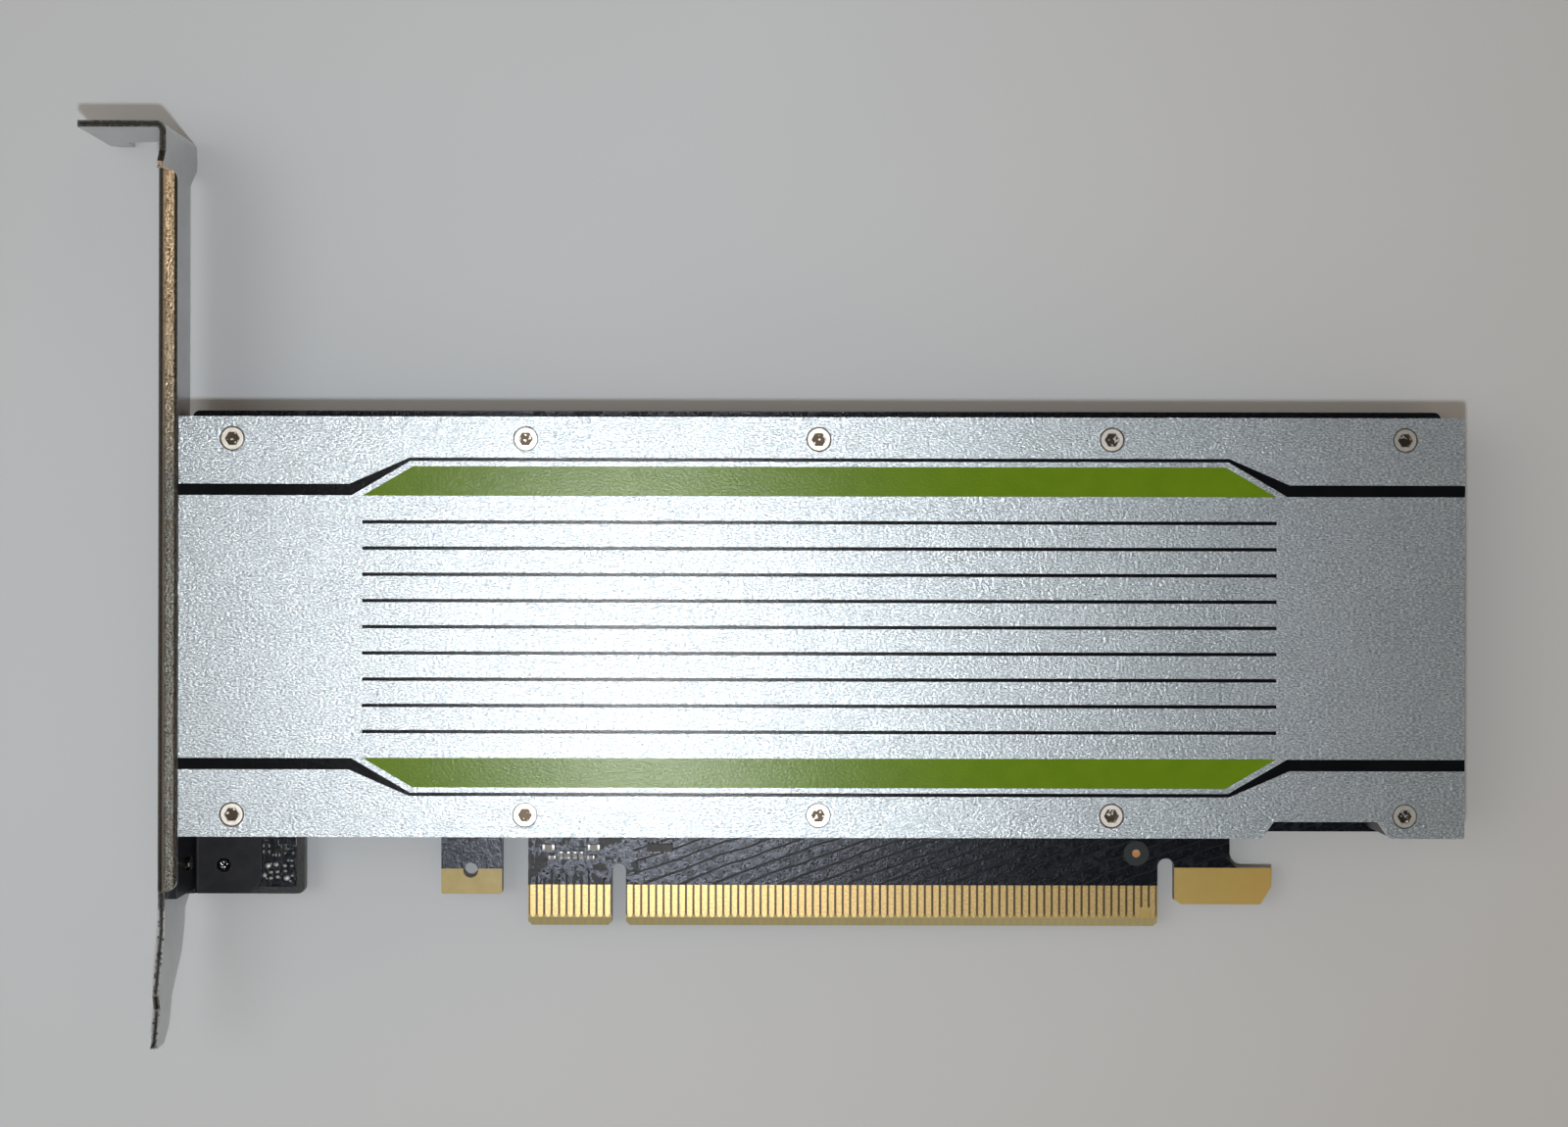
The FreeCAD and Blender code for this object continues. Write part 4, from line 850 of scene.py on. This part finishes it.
# centre X and Y, length along X, width along Y, turn
joints = (
    (-47.59, 10.60, 0.26, 0.46, 0), (-46.84, 10.59, 0.26, 0.46, 0), (-47.58, 9.80, 0.26, 0.46, 0),
    (-46.83, 9.79, 0.26, 0.46, 0), (-46.30, 9.35, 0.30, 0.26, 0), (-45.89, 9.38, 0.22, 0.50, 0),
    (-45.46, 9.38, 0.22, 0.50, 0), (-46.98, 7.92, 0.74, 0.64, 20), (-46.60, 8.20, 0.34, 0.24, 35),
    (-45.90, 8.07, 0.62, 0.54, 0), (-44.75, 7.93, 0.52, 0.40, 0), (-44.30, 8.63, 0.30, 0.26, 0),
    (-43.82, 8.61, 0.46, 0.24, 0), (-43.81, 7.91, 0.46, 0.24, 0), (-46.61, 7.05, 0.54, 0.34, 0),
    (-45.72, 7.10, 0.50, 0.34, 10), (-44.67, 7.21, 0.46, 0.30, 0), (-47.48, 6.63, 0.62, 0.56, 0),
    (-47.20, 6.25, 0.40, 0.20, 300), (-46.61, 6.25, 0.50, 0.38, 0), (-45.71, 6.40, 0.50, 0.42, 0),
    (-44.47, 6.26, 0.80, 0.62, 15), (-43.75, 6.60, 0.42, 0.28, 0), (-44.01, 5.86, 0.34, 0.26, 0),
    (-43.62, 9.60, 0.22, 0.40, 0), (-44.70, 9.60, 0.30, 0.24, 45),
)
places = []
for x, y, length, width, turn in joints:
    places.append(((x, y, BOARD_FACE + DOME_LIFT), (length, width, DOME_SCALE), turn))
joined = copies(dome, "foot_joints", places)
coat(joined, tin)

# %% [markdown]
# ## Printed corner marks
# A part's place on a board is marked by thin printed corners.  Each stroke is a
# flat bar with its upper edges broken, far thinner than a sheet of paper.

# %% One stroke
bar = small_cube()
pick(bar, lambda at: at.z > 0)
bpy.ops.transform.resize(value=(0.98, 0.8, 1.0))
bpy.ops.object.mode_set(mode="OBJECT")
print("one stroke:", len(bar.data.polygons), "faces")

# %% All strokes
STROKE_WIDTH, STROKE_HEIGHT = 0.09, 0.016  # mm
STROKE_LIFT = 0.006                        # mm, a stroke's middle over the mask
STROKE_OVERLAP = 0.08                      # mm, by which strokes run on, so that corners close
# where each stroke starts and ends, in mm
strokes = (
    (-45.62, 11.38, -45.62, 10.66), (-45.62, 10.66, -45.21, 10.66), (-45.21, 10.66, -45.21, 10.29),
    (-43.22, 11.52, -43.22, 10.60), (-43.62, 10.60, -43.22, 10.60), (-44.80, 10.73, -44.42, 10.73),
    (-44.66, 10.72, -44.50, 10.17), (-44.72, 10.17, -44.12, 10.17), (-47.40, 11.32, -47.06, 11.32),
)
places = []
for x0, y0, x1, y1 in strokes:
    length = math.hypot(x1 - x0, y1 - y0) + STROKE_OVERLAP
    turn = math.degrees(math.atan2(y1 - y0, x1 - x0))
    centre = ((x0 + x1) / 2, (y0 + y1) / 2, BOARD_FACE + STROKE_LIFT)
    places.append((centre, (length, STROKE_WIDTH, STROKE_HEIGHT), turn))
marks = copies(bar, "corner_marks", places)

# %% Grey print
print_grey, tree, body = shader("grey board print", (0.20, 0.20, 0.21), 0.6)
two_tone(tree, body, (0.13, 0.135, 0.145), (0.26, 0.265, 0.275), 0.4)
grained(tree, body, 0.2, 0.004)
coat(marks, print_grey)

# %% [markdown]
# ## Lamps and room
# A small lamp near the camera gives a crisp short shadow.  A broad, weaker one
# fills from the left and a warm one from the ceiling, and the even surroundings
# do the rest.  These three don't show in gloss.  Two small lamps show in gloss
# alone and lay a sheen on the cover.

# %% Lamps
def lamp(name, size, power, color, at, aim):
    """A round lamp that looks at a point; its size and places are in metres."""
    data = bpy.data.lights.new(name, "AREA")
    data.shape = "DISK"
    data.size = size
    data.energy = power
    data.color = color
    holder = bpy.data.objects.new(name, data)
    bpy.context.scene.collection.objects.link(holder)
    holder.location = at
    holder.rotation_euler = (Vector(aim) - Vector(at)).to_track_quat("-Z", "Y").to_euler()
    print(name, power, "W")
    return holder


SHEEN_COLOR = (0.97, 0.98, 1.0)
key = lamp("key lamp", 0.012, 0.72, (0.79, 0.89, 1.0), (0.020, 0.009, 0.336), (0.020, 0.030, 0.0))
sheen = lamp("sheen lamp", 0.05, 0.215, SHEEN_COLOR, (-0.020, 0.036, 0.336), (0.004, 0.040, 0.0))
low_sheen = lamp("low sheen lamp", 0.05, 0.14, SHEEN_COLOR, (-0.009, -0.014, 0.336), (0.004, 0.020, 0.0))
side = lamp("side lamp", 0.5, 1.55, (0.87, 0.94, 1.0), (-0.45, 0.08, 0.80), (0.0, 0.05, 0.0))
ceiling = lamp("ceiling lamp", 1.0, 1.38, (1.0, 0.77, 0.55), (0.02, 0.05, 1.0), (0.02, 0.05, 0.0))
for fill in (key, side, ceiling):
    fill.visible_glossy = False
for gloss in (sheen, low_sheen):
    gloss.visible_diffuse = False

# %% Room
world = bpy.data.worlds.new("room")
bpy.context.scene.world = world
world.use_nodes = True
sky = world.node_tree
where = sky.nodes.new("ShaderNodeTexCoord")
parts = add(sky, "ShaderNodeSeparateXYZ", {0: where.outputs["Generated"]})
ramp = add(sky, "ShaderNodeValToRGB", {0: parts.outputs[2]})
# how steeply a direction rises, from 0 along the floor to 1 straight up, and its light
steps = (
    (0.0, (0.030, 0.028, 0.026)), (0.20, (0.045, 0.040, 0.036)), (0.36, (0.44, 0.38, 0.32)),
    (0.73, (0.45, 0.39, 0.33)), (0.90, (0.113, 0.125, 0.139)), (1.0, (0.082, 0.098, 0.113)),
)
while len(ramp.color_ramp.elements) < len(steps):
    ramp.color_ramp.elements.new(0.5)
for stop, (at, color) in zip(ramp.color_ramp.elements, steps):
    stop.position = at
    stop.color = (*color, 1)
# a window at the left makes that side brighter and cooler than the right
window = tint(sky, span(sky, parts.outputs[0], -1.0, 1.0), (1.20, 1.22, 1.26), (0.78, 0.79, 0.79))
lit = add(
    sky, "ShaderNodeMix", {6: ramp.outputs[0], 7: window}, {0: 1.0}, data_type="RGBA", blend_type="MULTIPLY"
)
air = sky.nodes["Background"]
sky.links.new(lit.outputs[2], air.inputs["Color"])
air.inputs["Strength"].default_value = 1.0
print("room steps:", len(steps))

# %% [markdown]
# ## Camera
# The camera looks straight down from about a third of a metre, so the card's
# height shows only by perspective.  A small shift sets the card off the middle
# of the frame without tilting the view.

# %% Camera
EYE = (0.02246, 0.05177, 0.3358)  # m, over the middle of the card
LENS, SENSOR = 57.4, 36           # mm
SHIFT_X, SHIFT_Y = -0.002, -0.0154  # shares of the frame's width
TURN = 0.11                       # degrees about the line of sight
camera = bpy.data.objects.new("camera", bpy.data.cameras.new("camera"))
bpy.context.scene.collection.objects.link(camera)
camera.data.sensor_width = SENSOR
camera.data.lens = LENS
camera.data.shift_x = SHIFT_X
camera.data.shift_y = SHIFT_Y
camera.location = EYE
camera.rotation_euler = (0, 0, math.radians(TURN))
bpy.context.scene.camera = camera
bpy.context.scene.view_settings.view_transform = "Standard"
print("camera at", EYE, "m with a lens of", LENS, "mm")
